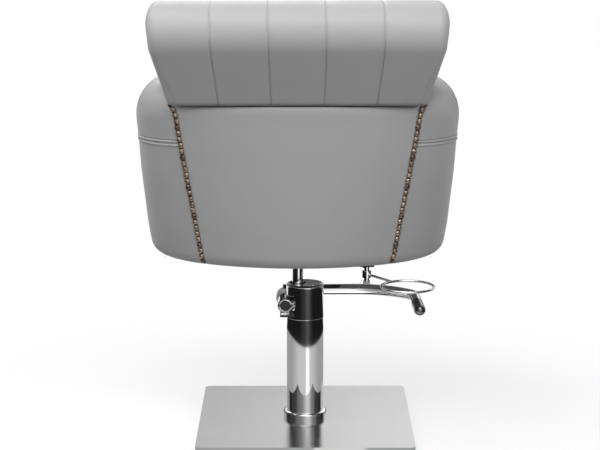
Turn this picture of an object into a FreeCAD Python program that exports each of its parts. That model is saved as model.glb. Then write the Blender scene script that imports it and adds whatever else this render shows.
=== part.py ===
"""Threading chair: a rolled-back tub seat on a hydraulic column with a square base.

The frame is in millimetres with +Z up. The origin is on the floor under the middle of the square
base, and +Y is the way that the sitter faces, so +X is at the sitter's right hand. The hydraulic
ram stands beside the column's axis, and the seat is centred on the ram.

Each sub-part is written to parts/NODE.step. Seat pieces are drawn about the seat's own middle
plane and are moved to the ram when they are written.
"""

import FreeCAD, Part
import math
import os

from FreeCAD import Vector

os.makedirs("parts", exist_ok=True)

# Clearances and cutting allowances
fit_gap = 0.05  # radial play of a rod in its bore
seat_gap = 0.3  # between pieces that are laid beside each other
panel_gap = 2.6  # open joint between outer panels, under a nail strip
overrun = 5.0  # how far a cutting tool passes a face

# Square base
base_size = 450.0
base_corner = 12.0
mat_thickness = 3.0
mat_inset = 8.0
plate_thickness = 7.0
cover_thickness = 1.2
plate_play = 0.4

# Column and pump
ram_offset = 15.5
column_wall = 1.6
column_top = 230.0
ring_width = 7.0
ring_height = 15.0
ring_edge = 5.0
flange_gap = 1.9  # between the flange and the column tube
flange_thickness = 12.0
flange_bolt_edge = 13.5
flange_bolt_radius = 4.0
flange_bolt_head = 7.5
flange_bolt_reach = 8.0
oil_gap = 2.0  # between the ram and its barrel
barrel_wall = 4.0
barrel_seat = 5.0  # how far the barrel goes into the head
barrel_side_gap = 1.3  # between the barrel and the reservoir
reservoir_wall = 1.8
reservoir_gap = 0.8  # between the reservoir and the column tube
head_step = 1.0  # how far the head stands out from the column
head_height = 73.5
head_edge = 5.0
head_lip = 0.8
head_spigot = 8.0
spigot_wall = 3.35
oil_pocket_depth = 6.0
wiper_wall = 5.0
wiper_height = 5.0
filler_x = 17.0
filler_y = -22.0
filler_radius = 4.0
filler_head = 2.0
filler_depth = 6.0

# Ram, piston and swivel
ram_radius = 12.0
ram_end_gap = 5.0  # from the ram's end up to the mounting plate
ram_end_bevel = 1.5
piston_bottom = 66.0
piston_height = 18.0
piston_spigot = 7.0
piston_seal_height = 4.0
piston_seal_depth = 2.5
piston_seal_play = 0.02
seat_sink = 34.5  # room between the pump head and the hub, for the seat to sink
hub_height = 43.0
hub_wall = 7.0
hub_flare = 6.0
mount_plate_size = 190.0
mount_plate_thickness = 5.0
mount_plate_corner = 14.0
mount_bolt_edge = 20.0
mount_bolt_radius = 4.0
mount_bolt_head = 6.8
mount_bolt_head_height = 5.3
mount_bolt_grip = 16.0
washer_height = 2.0

# Foot lever
shaft_outset = 2.0  # from the pump head's side out to the shaft's axis
shaft_rise = 32.0
shaft_radius = 7.0
bush_wall = 2.0
bush_length = 12.0
boss_wall = 7.0
boss_back = -36.0
boss_cap_lip = 5.5
boss_cap_height = 3.0
boss_cap_dome = 2.0
shelf_rise = 6.0
shelf_outset = 11.0
shelf_length = 43.0
shelf_back = -33.0
shelf_thickness = 5.0
lever_hub_wall = 13.0
lever_hub_length = 19.5
lever_hub_gap = 1.0
lever_radius = 11.6
lever_rise = 14.3
lever_gap = 2.4  # between the pump head and the bar
lever_bow = 4.0  # how far the bar bows out before its bend
lever_corner_x = 170.0
lever_elbow_x = 231.0
lever_elbow_y = 0.0
pedal_x = 240.0
pedal_y = -62.0
pedal_drop = 17.0
lever_bend = 150.0
pedal_bend = 22.0
pedal_cap_length = 30.0
pedal_cap_lip = 0.5
finger_inset = 13.5
finger_width = 9.0
finger_height = 9.0
finger_slot_play = 1.5
finger_drop = 8.0
plunger_x = 8.0
plunger_radius = 4.5
plunger_head_radius = 6.5
plunger_head_height = 3.0
plunger_reach = 31.0
plunger_touch = 0.25
plunger_barrel_radius = 10.5
plunger_barrel_length = 51.0
plunger_barrel_floor = 2.0
spring_depth = 21.0
spring_wire = 1.2
spring_turns = 6
spring_radius = 6.0

# Hair dryer holder
holder_inset_x = 50.0
holder_inset_y = 64.0
holder_plate_x = 30.0
holder_plate_y = 34.0
holder_plate_thickness = 4.0
holder_post_radius = 5.6
holder_drop = 39.0
holder_screw_edge = 6.5
holder_screw_radius = 2.0
holder_screw_head = 3.6
holder_screw_head_height = 2.4
holder_screw_length = 15.0
knob_radius = 7.2
knob_height = 7.0
collar_radius = 9.5
collar_rise = 10.5
collar_height = 13.0
wire_radius = 2.6
loop_radius = 51.0
loop_reach_x = 76.0
loop_reach_y = -112.0

# Tub: the seat's half width, and what stands out from it or in from it
seat_half = 222.0
arm_width_bottom = 82.0
arm_width_top = 101.5
nail_inset_bottom = 33.0
nail_outset_seam = 8.0
nail_outset_top = 18.0
back_y_bottom = -250.0
back_lean = 41.0
back_sag_bottom = 46.0
back_sag_top = 17.0
hem_height = 18.0
hem_inset = 15.0
hem_mid_height = 6.0
hem_mid_inset = 5.0
panel_thickness = 6.0
arm_seam_rise = 260.0
back_rise = 70.0  # of the outer back panel above the arm's seam
side_front = 226.0

# Arms: heights above the seam
arm_lining = 22.0
arm_lining_inset = 50.0
arm_shoulder_front = 14.0
arm_shoulder_rear = 40.0
arm_shoulder_end = 68.0
arm_crest_front = 86.0
arm_crest_rear = 114.0
arm_crest_end = 76.0
arm_crest_outer_share = 0.4
arm_crest_inner_share = 0.28
arm_inner_drop = 37.0
arm_bulge_share = 0.7
arm_end_gap = 3.0  # between the back pad's side and the arm's end
arm_end_depth = 44.15
arm_corner_steps = 5
facing_thickness = 12.0

# Bottom and seat deck
bottom_cover_thickness = 3.0
board_thickness = 18.0
board_inset = 16.5
rail_height = 30.0
rail_width = 22.0
rail_inset = 26.0
deck_rear_inset = 82.0
deck_nose = 20.0
strap_width = 60.0
strap_thickness = 1.5
straps_long = 4
straps_cross = 4
apron_side_gap = 1.0
apron_thickness = 14.0
apron_drop = 3.0
apron_edge = 6.0

# Seat cushion
cushion_side_gap = 3.0
cushion_rear_gap = 2.0
cushion_overhang = 24.0
cushion_height = 84.0
cushion_corner = 42.0
cushion_edge = 26.0
cushion_tuck = 9.0
cushion_crown = 16.0
cushion_crown_inset = 120.0
cushion_levels = 4

# Channelled back pad that rolls over the head board
pad_foot_step = 8.0
pad_foot_rise = 39.0
roll_overhang = 11.0
roll_rise = 142.0
roll_radius = 64.0
roll_foot_gap = 1.5
channel_pitch = 110.0
channel_follow_share = 0.6
channel_crown = 4.5
pad_side_bulge = 7.0
pad_thickness_foot = 29.0
pad_thickness_back = 36.0
pad_thickness_roll = 40.0
pad_thickness_end = 13.0
pad_inset_foot = 9.0
pad_inset_arm = 8.0
pad_outset_front = 46.0
pad_outset_crest = 52.0
pad_outset_roll = 57.0
pad_outset_under = 53.0
pad_outset_end = 21.0
arm_level_share = 0.48
flare_steps = 6
flare_power = 1.25
neck_step = 3
roll_steps = 9
under_steps = 3
core_inset = 7.0

# Wooden frame inside the tub
post_width = 36.0
post_depth = 15.0
post_drop = 16.0
post_inset = 60.0
back_rail_height = 45.0
head_board_drop = 16.0
head_board_inset = 17.0
arm_post_width = 34.0
arm_post_depth = 36.0
arm_rail_height = 32.0
arm_rail_rise = 49.0
arm_frame_rear_inset = 168.0
arm_frame_front_inset = 11.0
arm_frame_gap = 2.0

# Nail strips
nail_pitch = 12.6
nail_radius = 5.4
nail_dome = 3.2
strip_width = 9.0
strip_thickness = 0.8
nail_start_rise = 7.0
nail_end_rise = 6.0
nail_swing = 9.0  # how far the strip's top swings out, under the roll
nail_swing_height = 26.0
nail_every = 5
nail_shank_radius = 1.0
nail_shank_length = 13.0

# Values that follow: base and pump
plate_top = mat_thickness + plate_thickness
floor_top = plate_top + cover_thickness
barrel_bore = ram_radius + oil_gap
barrel_radius = barrel_bore + barrel_wall
reservoir_radius = ram_offset + barrel_radius + barrel_side_gap + reservoir_wall
column_bore = reservoir_radius + reservoir_gap
column_radius = column_bore + column_wall
ring_radius = column_radius + ring_width
flange_radius = column_bore - flange_gap
flange_bolt_circle = flange_radius - flange_bolt_edge
head_radius = column_radius + head_step
head_top = column_top + head_height
spigot_radius = column_bore - fit_gap
oil_pocket_radius = spigot_radius - spigot_wall
oil_pocket_roof = column_top + oil_pocket_depth
barrel_top = oil_pocket_roof + barrel_seat
wiper_radius = ram_radius + wiper_wall
bush_radius = shaft_radius + bush_wall

# Values that follow: lever and plunger
shaft_x = -head_radius - shaft_outset
shaft_z = column_top + shaft_rise
shelf_x = shaft_x - shelf_outset
shelf_z = column_top + shelf_rise
boss_radius = bush_radius + boss_wall
boss_cap_radius = bush_radius + boss_cap_lip
lever_hub_radius = shaft_radius + lever_hub_wall
lever_y = head_radius + lever_gap + lever_radius
lever_z = shaft_z + lever_rise
lever_end_z = lever_z - pedal_drop
lever_hub_back = lever_y - lever_hub_length
boss_front = lever_hub_back - lever_hub_gap
finger_y = boss_front - finger_inset
well_radius = plunger_head_radius + finger_slot_play
plunger_bottom = oil_pocket_roof - plunger_reach
plunger_barrel_bottom = oil_pocket_roof - plunger_barrel_length
spring_seat = oil_pocket_roof - spring_depth

# Values that follow: heights of the seat
hub_bottom = head_top + seat_sink
mount_plate_bottom = hub_bottom + hub_height
ram_top = mount_plate_bottom - ram_end_gap
shell_bottom = mount_plate_bottom + mount_plate_thickness
arm_seam = shell_bottom + arm_seam_rise
shell_top = arm_seam + back_rise
board_bottom = shell_bottom + bottom_cover_thickness
board_top = board_bottom + board_thickness
rail_top = board_top + rail_height
strap_top = rail_top + strap_thickness
apron_top = rail_top - apron_drop
cushion_bottom = strap_top + strap_thickness + seat_gap
post_top = shell_top - post_drop
arm_rail_top = arm_seam + arm_rail_rise
pad_foot_z = board_top + pad_foot_rise
roll_foot_z = shell_top + roll_foot_gap
roll_centre_z = shell_top + roll_rise
head_board_top = roll_centre_z - head_board_drop
nail_start = shell_bottom + nail_start_rise
nail_end = shell_top + nail_end_rise
holder_post_bottom = shell_bottom - holder_drop
collar_bottom = holder_post_bottom + collar_rise

# Values that follow: widths and depths of the seat
mount_bolt_spacing = mount_plate_size - 2 * mount_bolt_edge
hub_radius_bottom = ram_radius + hub_wall
hub_radius_top = hub_radius_bottom + hub_flare
shell_half_bottom = seat_half + arm_width_bottom
shell_half_top = seat_half + arm_width_top
nail_half_bottom = seat_half - nail_inset_bottom
nail_half_seam = seat_half + nail_outset_seam
nail_half_top = seat_half + nail_outset_top
back_y_top = back_y_bottom - back_lean
holder_x = nail_half_bottom - holder_inset_x
holder_y = back_y_bottom + holder_inset_y
holder_screw_spread = holder_plate_y - 2 * holder_screw_edge
rail_half = seat_half - rail_inset
deck_rear = back_y_bottom + deck_rear_inset
deck_front = side_front + deck_nose
apron_half = seat_half - apron_side_gap
pad_foot_y = deck_rear + pad_foot_step
cushion_half = seat_half - cushion_side_gap
cushion_rear = pad_foot_y + cushion_rear_gap
cushion_front = deck_front + apron_thickness + cushion_overhang
roll_centre_y = back_y_top - roll_overhang
pad_half_foot = seat_half - pad_inset_foot
pad_half_arm = seat_half - pad_inset_arm
pad_half_front = seat_half + pad_outset_front
pad_half_crest = seat_half + pad_outset_crest
pad_half_roll = seat_half + pad_outset_roll
pad_half_under = seat_half + pad_outset_under
pad_half_end = seat_half + pad_outset_end
head_board_half = seat_half - head_board_inset
arm_lining_rear = back_y_bottom + arm_lining_inset
arm_end_x = pad_half_arm + pad_side_bulge + arm_end_gap
arm_frame_x = seat_half + arm_lining + arm_frame_gap
arm_frame_rear = back_y_bottom + arm_frame_rear_inset
arm_frame_front = side_front - arm_frame_front_inset


def line(a, b):
    """One straight edge."""
    return Part.LineSegment(a, b).toShape()


def arc(a, middle, b):
    """One round edge through three points."""
    return Part.Arc(a, middle, b).toShape()


def cylinder(radius, start, end):
    """A solid cylinder between two points."""
    return Part.makeCylinder(radius, (end - start).Length, start, end - start)


def upright(radius, x, y, low, high):
    """A vertical solid cylinder."""
    return cylinder(radius, Vector(x, y, low), Vector(x, y, high))


def upright_tube(outer, inner, x, y, low, high):
    """A vertical tube, open at both ends."""
    bore = upright(inner, x, y, low - overrun, high + overrun)
    return upright(outer, x, y, low, high).cut(bore)


def block(x0, x1, y0, y1, z0, z1):
    """A box between two corners."""
    return Part.makeBox(x1 - x0, y1 - y0, z1 - z0, Vector(x0, y0, z0))


def rounded_outline(x0, x1, y0, y1, radius, z):
    """A level rectangle with round corners, as a wire."""
    turn = radius * (1 - math.sqrt(0.5))
    p = [
        Vector(x0 + radius, y0, z), Vector(x1 - radius, y0, z), Vector(x1, y0 + radius, z),
        Vector(x1, y1 - radius, z), Vector(x1 - radius, y1, z), Vector(x0 + radius, y1, z),
        Vector(x0, y1 - radius, z), Vector(x0, y0 + radius, z),
    ]
    m = [
        Vector(x1 - turn, y0 + turn, z), Vector(x1 - turn, y1 - turn, z),
        Vector(x0 + turn, y1 - turn, z), Vector(x0 + turn, y0 + turn, z),
    ]
    edges = []
    for k in range(4):
        edges.append(line(p[2 * k], p[2 * k + 1]))
        edges.append(arc(p[2 * k + 1], m[k], p[(2 * k + 2) % 8]))
    return Part.Wire(edges)


def slab(x0, x1, y0, y1, z0, z1, radius):
    """A flat plate with round corners."""
    outline = rounded_outline(x0, x1, y0, y1, radius, z0)
    return Part.Face(outline).extrude(Vector(0, 0, z1 - z0))


def loft(wires, ruled=True):
    """A closed solid through a row of wires."""
    solid = Part.makeLoft(wires, True, ruled)
    if solid.Volume < 0:
        solid.reverse()
    return solid


def turned(points, centre=Vector(0, 0, 0), axis=Vector(0, 0, 1), side=Vector(1, 0, 0)):
    """A solid turned about an axis, from (radius, height) corners."""
    ring = [centre + side * r + axis * h for r, h in points]
    outline = Part.makePolygon(ring + ring[:1])
    return Part.Face(outline).revolve(centre, axis, 360)


def bent_rod(points, radius, bends):
    """A round rod along straight runs joined by tangent arcs."""
    edges, start = [], points[0]
    for before, corner, after, bend in zip(points, points[1:], points[2:], bends):
        way_in = (corner - before).normalize()
        way_out = (after - corner).normalize()
        half = way_in.getAngle(way_out) / 2
        reach = bend * math.tan(half)
        inward = (way_out - way_in).normalize()
        middle = corner + inward * (bend / math.cos(half) - bend)
        enter, leave = corner - way_in * reach, corner + way_out * reach
        edges += [line(start, enter), arc(enter, middle, leave)]
        start = leave
    edges.append(line(start, points[-1]))
    ring = Part.Wire(Part.makeCircle(radius, points[0], points[1] - points[0]))
    return Part.Wire(edges).makePipeShell([ring], True, False)


def mirrored(shape):
    """The left-hand copy of a right-hand seat piece."""
    return shape.mirror(Vector(0, 0, 0), Vector(1, 0, 0))


def share_between(a, b, share):
    """The value that lies a share of the way from a to b."""
    return a + (b - a) * share


def group(shapes):
    """Separate solids that belong to one node."""
    return Part.makeCompound([s for shape in shapes for s in shape.Solids])


class Level:
    """The tub's outline at one height: a shallow back arc, two round corners and straight sides."""

    def __init__(self, z, inset=0.0):
        share = (z - shell_bottom) / (shell_top - shell_bottom)
        if z < arm_seam:
            low_share = (z - shell_bottom) / (arm_seam - shell_bottom)
            nail = share_between(nail_half_bottom, nail_half_seam, low_share)
        else:
            nail = share_between(nail_half_seam, nail_half_top, (z - arm_seam) / (shell_top - arm_seam))
        sag = share_between(back_sag_bottom, back_sag_top, share)
        back = share_between(back_y_bottom, back_y_top, share)
        half = share_between(shell_half_bottom, shell_half_top, share)
        back_radius = (nail**2 + sag**2) / (2 * sag)
        self.z = z
        self.turn = math.asin(nail / back_radius)
        corner_radius = (half - nail) / (1 - math.sin(self.turn))
        self.back_centre = Vector(0, back + back_radius, z)
        self.corner_centre = Vector(
            half - corner_radius, back + sag + corner_radius * math.cos(self.turn), z
        )
        self.back_radius = back_radius - inset
        self.corner_radius = corner_radius - inset
        self.half = half - inset

    def on_back(self, angle):
        """A point of the back arc, by its angle from straight back."""
        way = Vector(math.sin(angle), -math.cos(angle), 0)
        return self.back_centre + way * self.back_radius

    def on_corner(self, angle):
        """A point of the round corner, by its angle from straight back."""
        way = Vector(math.sin(angle), -math.cos(angle), 0)
        return self.corner_centre + way * self.corner_radius

    def nail_point(self):
        """The point of the outline that the nail strip lies on."""
        return self.on_back(self.turn)

    def side(self, y):
        """A point of the straight side."""
        return Vector(self.half, y, self.z)


def hem_levels(*higher):
    """Heights and insets of a panel that is drawn under at its foot."""
    low = shell_bottom + hem_height
    levels = [(shell_bottom, hem_inset), (shell_bottom + hem_mid_height, hem_mid_inset), (low, 0.0)]
    levels.append((share_between(low, higher[0], 0.5), 0.0))
    return levels + [(z, 0.0) for z in higher]


def back_panel_section(z, inset):
    """The outer back panel cut level at one height."""
    outer, inner = Level(z, inset), Level(z, inset + panel_thickness)
    end = outer.turn - panel_gap / 2 / outer.back_radius
    edges = [
        arc(outer.on_back(-end), outer.on_back(0), outer.on_back(end)),
        line(outer.on_back(end), inner.on_back(end)),
        arc(inner.on_back(end), inner.on_back(0), inner.on_back(-end)),
        line(inner.on_back(-end), outer.on_back(-end)),
    ]
    return Part.Wire(edges)


def side_panel_section(z, inset):
    """The right outer side panel cut level at one height."""
    outer, inner = Level(z, inset), Level(z, inset + panel_thickness)
    start = outer.turn + panel_gap / 2 / outer.corner_radius
    straight = math.pi / 2
    middle = (start + straight) / 2
    edges = [
        arc(outer.on_corner(start), outer.on_corner(middle), outer.on_corner(straight)),
        line(outer.on_corner(straight), outer.side(side_front)),
        line(outer.side(side_front), inner.side(side_front)),
        line(inner.side(side_front), inner.on_corner(straight)),
        arc(inner.on_corner(straight), inner.on_corner(middle), inner.on_corner(start)),
        line(inner.on_corner(start), outer.on_corner(start)),
    ]
    return Part.Wire(edges)


def deck_outline(z, inset, front):
    """A level outline that fits inside the tub, as a wire."""
    level = Level(z, inset)
    straight = math.pi / 2
    middle = (level.turn + straight) / 2

    def left(p):
        return Vector(-p.x, p.y, p.z)

    nail, bend, side = (level.on_corner(a) for a in (level.turn, middle, straight))
    corner = level.side(front)
    edges = [
        arc(left(nail), level.on_back(0), nail),
        arc(nail, bend, side),
        line(side, corner),
        line(corner, left(corner)),
        line(left(corner), left(side)),
        arc(left(side), left(bend), left(nail)),
    ]
    return Part.Wire(edges)


def flange_bolt_place(k):
    """The place of one of the four bolts that hold the pump's flange."""
    angle = math.radians(45 + 90 * k)
    return flange_bolt_circle * math.cos(angle), flange_bolt_circle * math.sin(angle)


def flange_bolt(k, gap, top):
    """A countersunk bolt from under the plate, or with a gap the hole for it."""
    x, y = flange_bolt_place(k)
    cone = flange_bolt_head - flange_bolt_radius
    outline = [(0, 0), (flange_bolt_head + gap, 0), (flange_bolt_radius + gap, cone), (0, cone)]
    head = turned(outline, Vector(x, y, mat_thickness))
    return head.fuse(upright(flange_bolt_radius + gap, x, y, mat_thickness, top)).removeSplitter()


def base_parts():
    """The square foot: rubber mat, steel plate, brushed cover and the ring round the column."""
    half = base_size / 2
    inner = half - cover_thickness
    mat_half = half - mat_inset
    mat = slab(-mat_half, mat_half, -mat_half, mat_half, 0, mat_thickness, base_corner)
    plate_half = inner - plate_play
    plate_corner = base_corner - cover_thickness - plate_play
    plate = slab(-plate_half, plate_half, -plate_half, plate_half, mat_thickness, plate_top, plate_corner)
    bolts = []
    for k in range(4):
        plate = plate.cut(flange_bolt(k, fit_gap, plate_top + overrun))
        bolts.append(flange_bolt(k, 0, plate_top + flange_bolt_reach))
    cover = slab(-half, half, -half, half, mat_thickness, floor_top, base_corner)
    cover = cover.cut(slab(-inner, inner, -inner, inner, mat_thickness - overrun, plate_top,
                           base_corner - cover_thickness))
    cover = cover.cut(upright(column_radius + seat_gap, 0, 0, mat_thickness, floor_top + overrun))
    ring_top = floor_top + ring_height
    ring = upright_tube(ring_radius, column_radius + fit_gap, 0, 0, floor_top, ring_top)
    rim = [e for e in ring.Edges
           if e.BoundBox.ZMin > ring_top - fit_gap and e.BoundBox.XMax > ring_radius - fit_gap]
    ring = ring.makeFillet(ring_edge, rim)
    return {
        "floor_mat": mat,
        "base_plate": plate,
        "base_cover": cover,
        "flange_bolts": group(bolts),
        "column_ring": ring,
    }


def pump_parts():
    """The fixed parts of the hydraulic pump inside and on the column."""
    flange_top = plate_top + flange_thickness
    flange = upright(flange_radius, 0, 0, plate_top, flange_top)
    for k in range(4):
        x, y = flange_bolt_place(k)
        hole_top = plate_top + flange_bolt_reach + seat_gap
        flange = flange.cut(upright(flange_bolt_radius + fit_gap, x, y, plate_top - overrun, hole_top))
    column = upright_tube(column_radius, column_bore, 0, 0, plate_top, column_top)
    barrel = upright_tube(barrel_radius, barrel_bore, -ram_offset, 0, flange_top, barrel_top)
    reservoir = upright_tube(
        reservoir_radius, reservoir_radius - reservoir_wall, 0, 0, flange_top, column_top - head_spigot
    )
    barrel_floor = plunger_barrel_bottom + plunger_barrel_floor
    x, y = plunger_x, finger_y
    plunger_barrel = upright(plunger_barrel_radius, x, y, plunger_barrel_bottom, oil_pocket_roof)
    for radius, low in ((plunger_radius + fit_gap, barrel_floor), (well_radius, spring_seat)):
        plunger_barrel = plunger_barrel.cut(upright(radius, x, y, low, oil_pocket_roof + overrun))
    wiper = upright_tube(wiper_radius, ram_radius + fit_gap, -ram_offset, 0,
                         head_top - wiper_height, head_top)
    filler = upright(filler_radius, filler_x, filler_y, head_top, head_top + filler_head)
    stem = filler_radius - filler_head / 2
    filler = filler.fuse(upright(stem, filler_x, filler_y, head_top - filler_depth, head_top))
    bore = cylinder(shaft_radius + fit_gap, Vector(shaft_x, boss_back, shaft_z),
                    Vector(shaft_x, boss_front + overrun, shaft_z))
    back_bush = boss_back + boss_cap_height
    front_bush = finger_y + finger_width / 2 + seat_gap
    bushes = [
        cylinder(bush_radius, Vector(shaft_x, low, shaft_z), Vector(shaft_x, high, shaft_z)).cut(bore)
        for low, high in ((back_bush, back_bush + bush_length), (front_bush, boss_front))
    ]
    cap_face = boss_back - boss_cap_dome
    cap = turned(
        [(0, 0), (boss_cap_radius - boss_cap_dome, 0), (boss_cap_radius, boss_cap_dome),
         (boss_cap_radius, boss_cap_dome + boss_cap_height - seat_gap),
         (0, boss_cap_dome + boss_cap_height - seat_gap)],
        Vector(shaft_x, cap_face, shaft_z), Vector(0, 1, 0),
    )
    return {
        "pump_flange": flange,
        "column_tube": column,
        "ram_barrel": barrel,
        "oil_reservoir": reservoir,
        "plunger_barrel": plunger_barrel,
        "pump_head": pump_head(),
        "ram_wiper": wiper,
        "oil_filler_screw": filler.removeSplitter(),
        "lever_bushes": group(bushes),
        "boss_cap": cap,
    }


def pump_head():
    """The chromed casting that closes the column and carries the ram's guide and the lever's boss."""
    body = upright(head_radius, 0, 0, column_top, head_top)
    rim = [e for e in body.Edges if e.BoundBox.ZMin > head_top - fit_gap]
    body = body.makeFillet(head_edge, rim)
    foot = [e for e in body.Edges if e.BoundBox.ZMax < column_top + fit_gap]
    body = body.makeFillet(head_lip, foot)
    boss = cylinder(boss_radius, Vector(shaft_x, boss_back, shaft_z), Vector(shaft_x, boss_front, shaft_z))
    shelf = block(shelf_x, shelf_x + shelf_length, shelf_back, 0, shelf_z, shelf_z + shelf_thickness)
    spigot = upright(spigot_radius, 0, 0, column_top - head_spigot, column_top)
    head = body.fuse(boss).fuse(shelf).fuse(spigot).removeSplitter()
    low = column_top - head_spigot - overrun
    head = head.cut(upright(oil_pocket_radius, 0, 0, low, oil_pocket_roof))
    head = head.cut(upright(barrel_radius + fit_gap, -ram_offset, 0, low, barrel_top + seat_gap))
    head = head.cut(upright(ram_radius + fit_gap, -ram_offset, 0, low, head_top + overrun))
    head = head.cut(upright(wiper_radius, -ram_offset, 0, head_top - wiper_height, head_top + overrun))
    stem = filler_radius - filler_head / 2
    head = head.cut(upright(stem, filler_x, filler_y, head_top - filler_depth, head_top + overrun))
    head = head.cut(cylinder(bush_radius, Vector(shaft_x, boss_back - overrun, shaft_z),
                             Vector(shaft_x, boss_front + overrun, shaft_z)))
    head = head.cut(cylinder(boss_cap_radius, Vector(shaft_x, boss_back - overrun, shaft_z),
                             Vector(shaft_x, boss_back + boss_cap_height, shaft_z)))
    slot_half = finger_width / 2 + finger_slot_play
    slot_x = plunger_x + well_radius
    slot = block(shaft_x - bush_radius - finger_slot_play, slot_x, finger_y - slot_half,
                 finger_y + slot_half, oil_pocket_roof - overrun, shaft_z + bush_radius + finger_slot_play)
    well = upright(well_radius, plunger_x, finger_y, low, shaft_z + bush_radius + finger_slot_play)
    return head.cut(slot).cut(well)


def ram_parts():
    """The chromed ram with its piston, which lift the seat."""
    x = -ram_offset
    piston_top = piston_bottom + piston_height
    ram = upright(ram_radius, x, 0, piston_top, ram_top)
    top = [e for e in ram.Edges if e.BoundBox.ZMin > ram_top - fit_gap]
    ram = ram.makeChamfer(ram_end_bevel, top)
    ram = ram.fuse(upright(piston_spigot, x, 0, piston_bottom, piston_top)).removeSplitter()
    piston_radius = barrel_bore - fit_gap
    piston = upright_tube(piston_radius, piston_spigot, x, 0, piston_bottom, piston_top)
    seal_low = piston_bottom + (piston_height - piston_seal_height) / 2
    seal_high = seal_low + piston_seal_height
    groove = piston_radius - piston_seal_depth
    piston = piston.cut(upright_tube(barrel_bore + overrun, groove, x, 0, seal_low, seal_high)
                        .common(upright(barrel_bore + overrun, x, 0, seal_low, seal_high)))
    seal = upright_tube(barrel_bore - piston_seal_play, groove, x, 0, seal_low, seal_high)
    return {"ram": ram, "piston": piston, "piston_seal": seal}


def lever_parts():
    """The foot lever: cross shaft, hub, bent bar, end cap and the finger that works the pump."""
    shaft_end = boss_back + boss_cap_height + seat_gap
    shaft = cylinder(shaft_radius, Vector(shaft_x, shaft_end, shaft_z), Vector(shaft_x, lever_y, shaft_z))
    route = [
        Vector(shaft_x - lever_radius / 2, lever_y, lever_z),
        Vector(lever_corner_x, lever_y + lever_bow, lever_z),
        Vector(lever_elbow_x, lever_elbow_y, lever_z),
        Vector(pedal_x, pedal_y, lever_end_z),
    ]
    bar = bent_rod(route, lever_radius, [lever_bend, pedal_bend])
    hub = cylinder(lever_hub_radius, Vector(shaft_x, lever_hub_back, shaft_z),
                   Vector(shaft_x, lever_y, shaft_z))
    hub = hub.cut(bar).cut(shaft)
    hub = max(hub.Solids, key=lambda s: s.Volume)
    shaft = shaft.cut(bar)
    way = (route[-1] - route[-2]).normalize()
    cap = Part.makeSphere(lever_radius + pedal_cap_lip, route[-1])
    behind = cylinder(lever_radius + overrun, route[-1] - way * (lever_radius + overrun), route[-1])
    cap = cap.cut(behind)
    skirt = cylinder(lever_radius + pedal_cap_lip, route[-1] - way * pedal_cap_length, route[-1])
    skirt = skirt.cut(cylinder(lever_radius, route[-1] - way * (pedal_cap_length + overrun), route[-1]))
    cap = cap.fuse(skirt).removeSplitter()
    finger_low = shaft_z - finger_height / 2
    arm = block(shaft_x, plunger_x, finger_y - finger_width / 2, finger_y + finger_width / 2,
                finger_low, finger_low + finger_height)
    tip = block(plunger_x - finger_width / 2, plunger_x + finger_width / 2,
                finger_y - finger_width / 2, finger_y + finger_width / 2,
                finger_low - finger_drop, finger_low + finger_height)
    finger = arm.fuse(tip).removeSplitter()
    collar = cylinder(bush_radius, Vector(shaft_x, finger_y - finger_width / 2, shaft_z),
                      Vector(shaft_x, finger_y + finger_width / 2, shaft_z))
    finger = finger.fuse(collar).cut(shaft)
    finger = max(finger.Solids, key=lambda s: s.Volume)
    return {"lever_shaft": shaft, "lever_hub": hub, "lever_bar": bar, "pedal_cap": cap, "pump_finger": finger}


def plunger_parts():
    """The small pump plunger and its return spring."""
    head_z = shaft_z - finger_height / 2 - finger_drop - plunger_touch
    rod = upright(plunger_radius, plunger_x, finger_y, plunger_bottom, head_z - plunger_head_height)
    head = upright(plunger_head_radius, plunger_x, finger_y, head_z - plunger_head_height, head_z)
    low = spring_seat + spring_wire
    high = head_z - plunger_head_height - spring_wire
    steps = 4 * spring_turns
    places = []
    for k in range(2 * steps + 1):
        angle = math.pi / 4 * k
        climb = share_between(low, high, k / (2 * steps))
        places.append(Vector(plunger_x + spring_radius * math.cos(angle),
                             finger_y + spring_radius * math.sin(angle), climb))
    coil = [arc(places[2 * k], places[2 * k + 1], places[2 * k + 2]) for k in range(steps)]
    ring = Part.Wire(Part.makeCircle(spring_wire / 2, places[0], coil[0].tangentAt(coil[0].FirstParameter)))
    spring = Part.Wire(coil).makePipeShell([ring], True, False)
    return {"pump_plunger": rod.fuse(head).removeSplitter(), "plunger_spring": spring}


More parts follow.
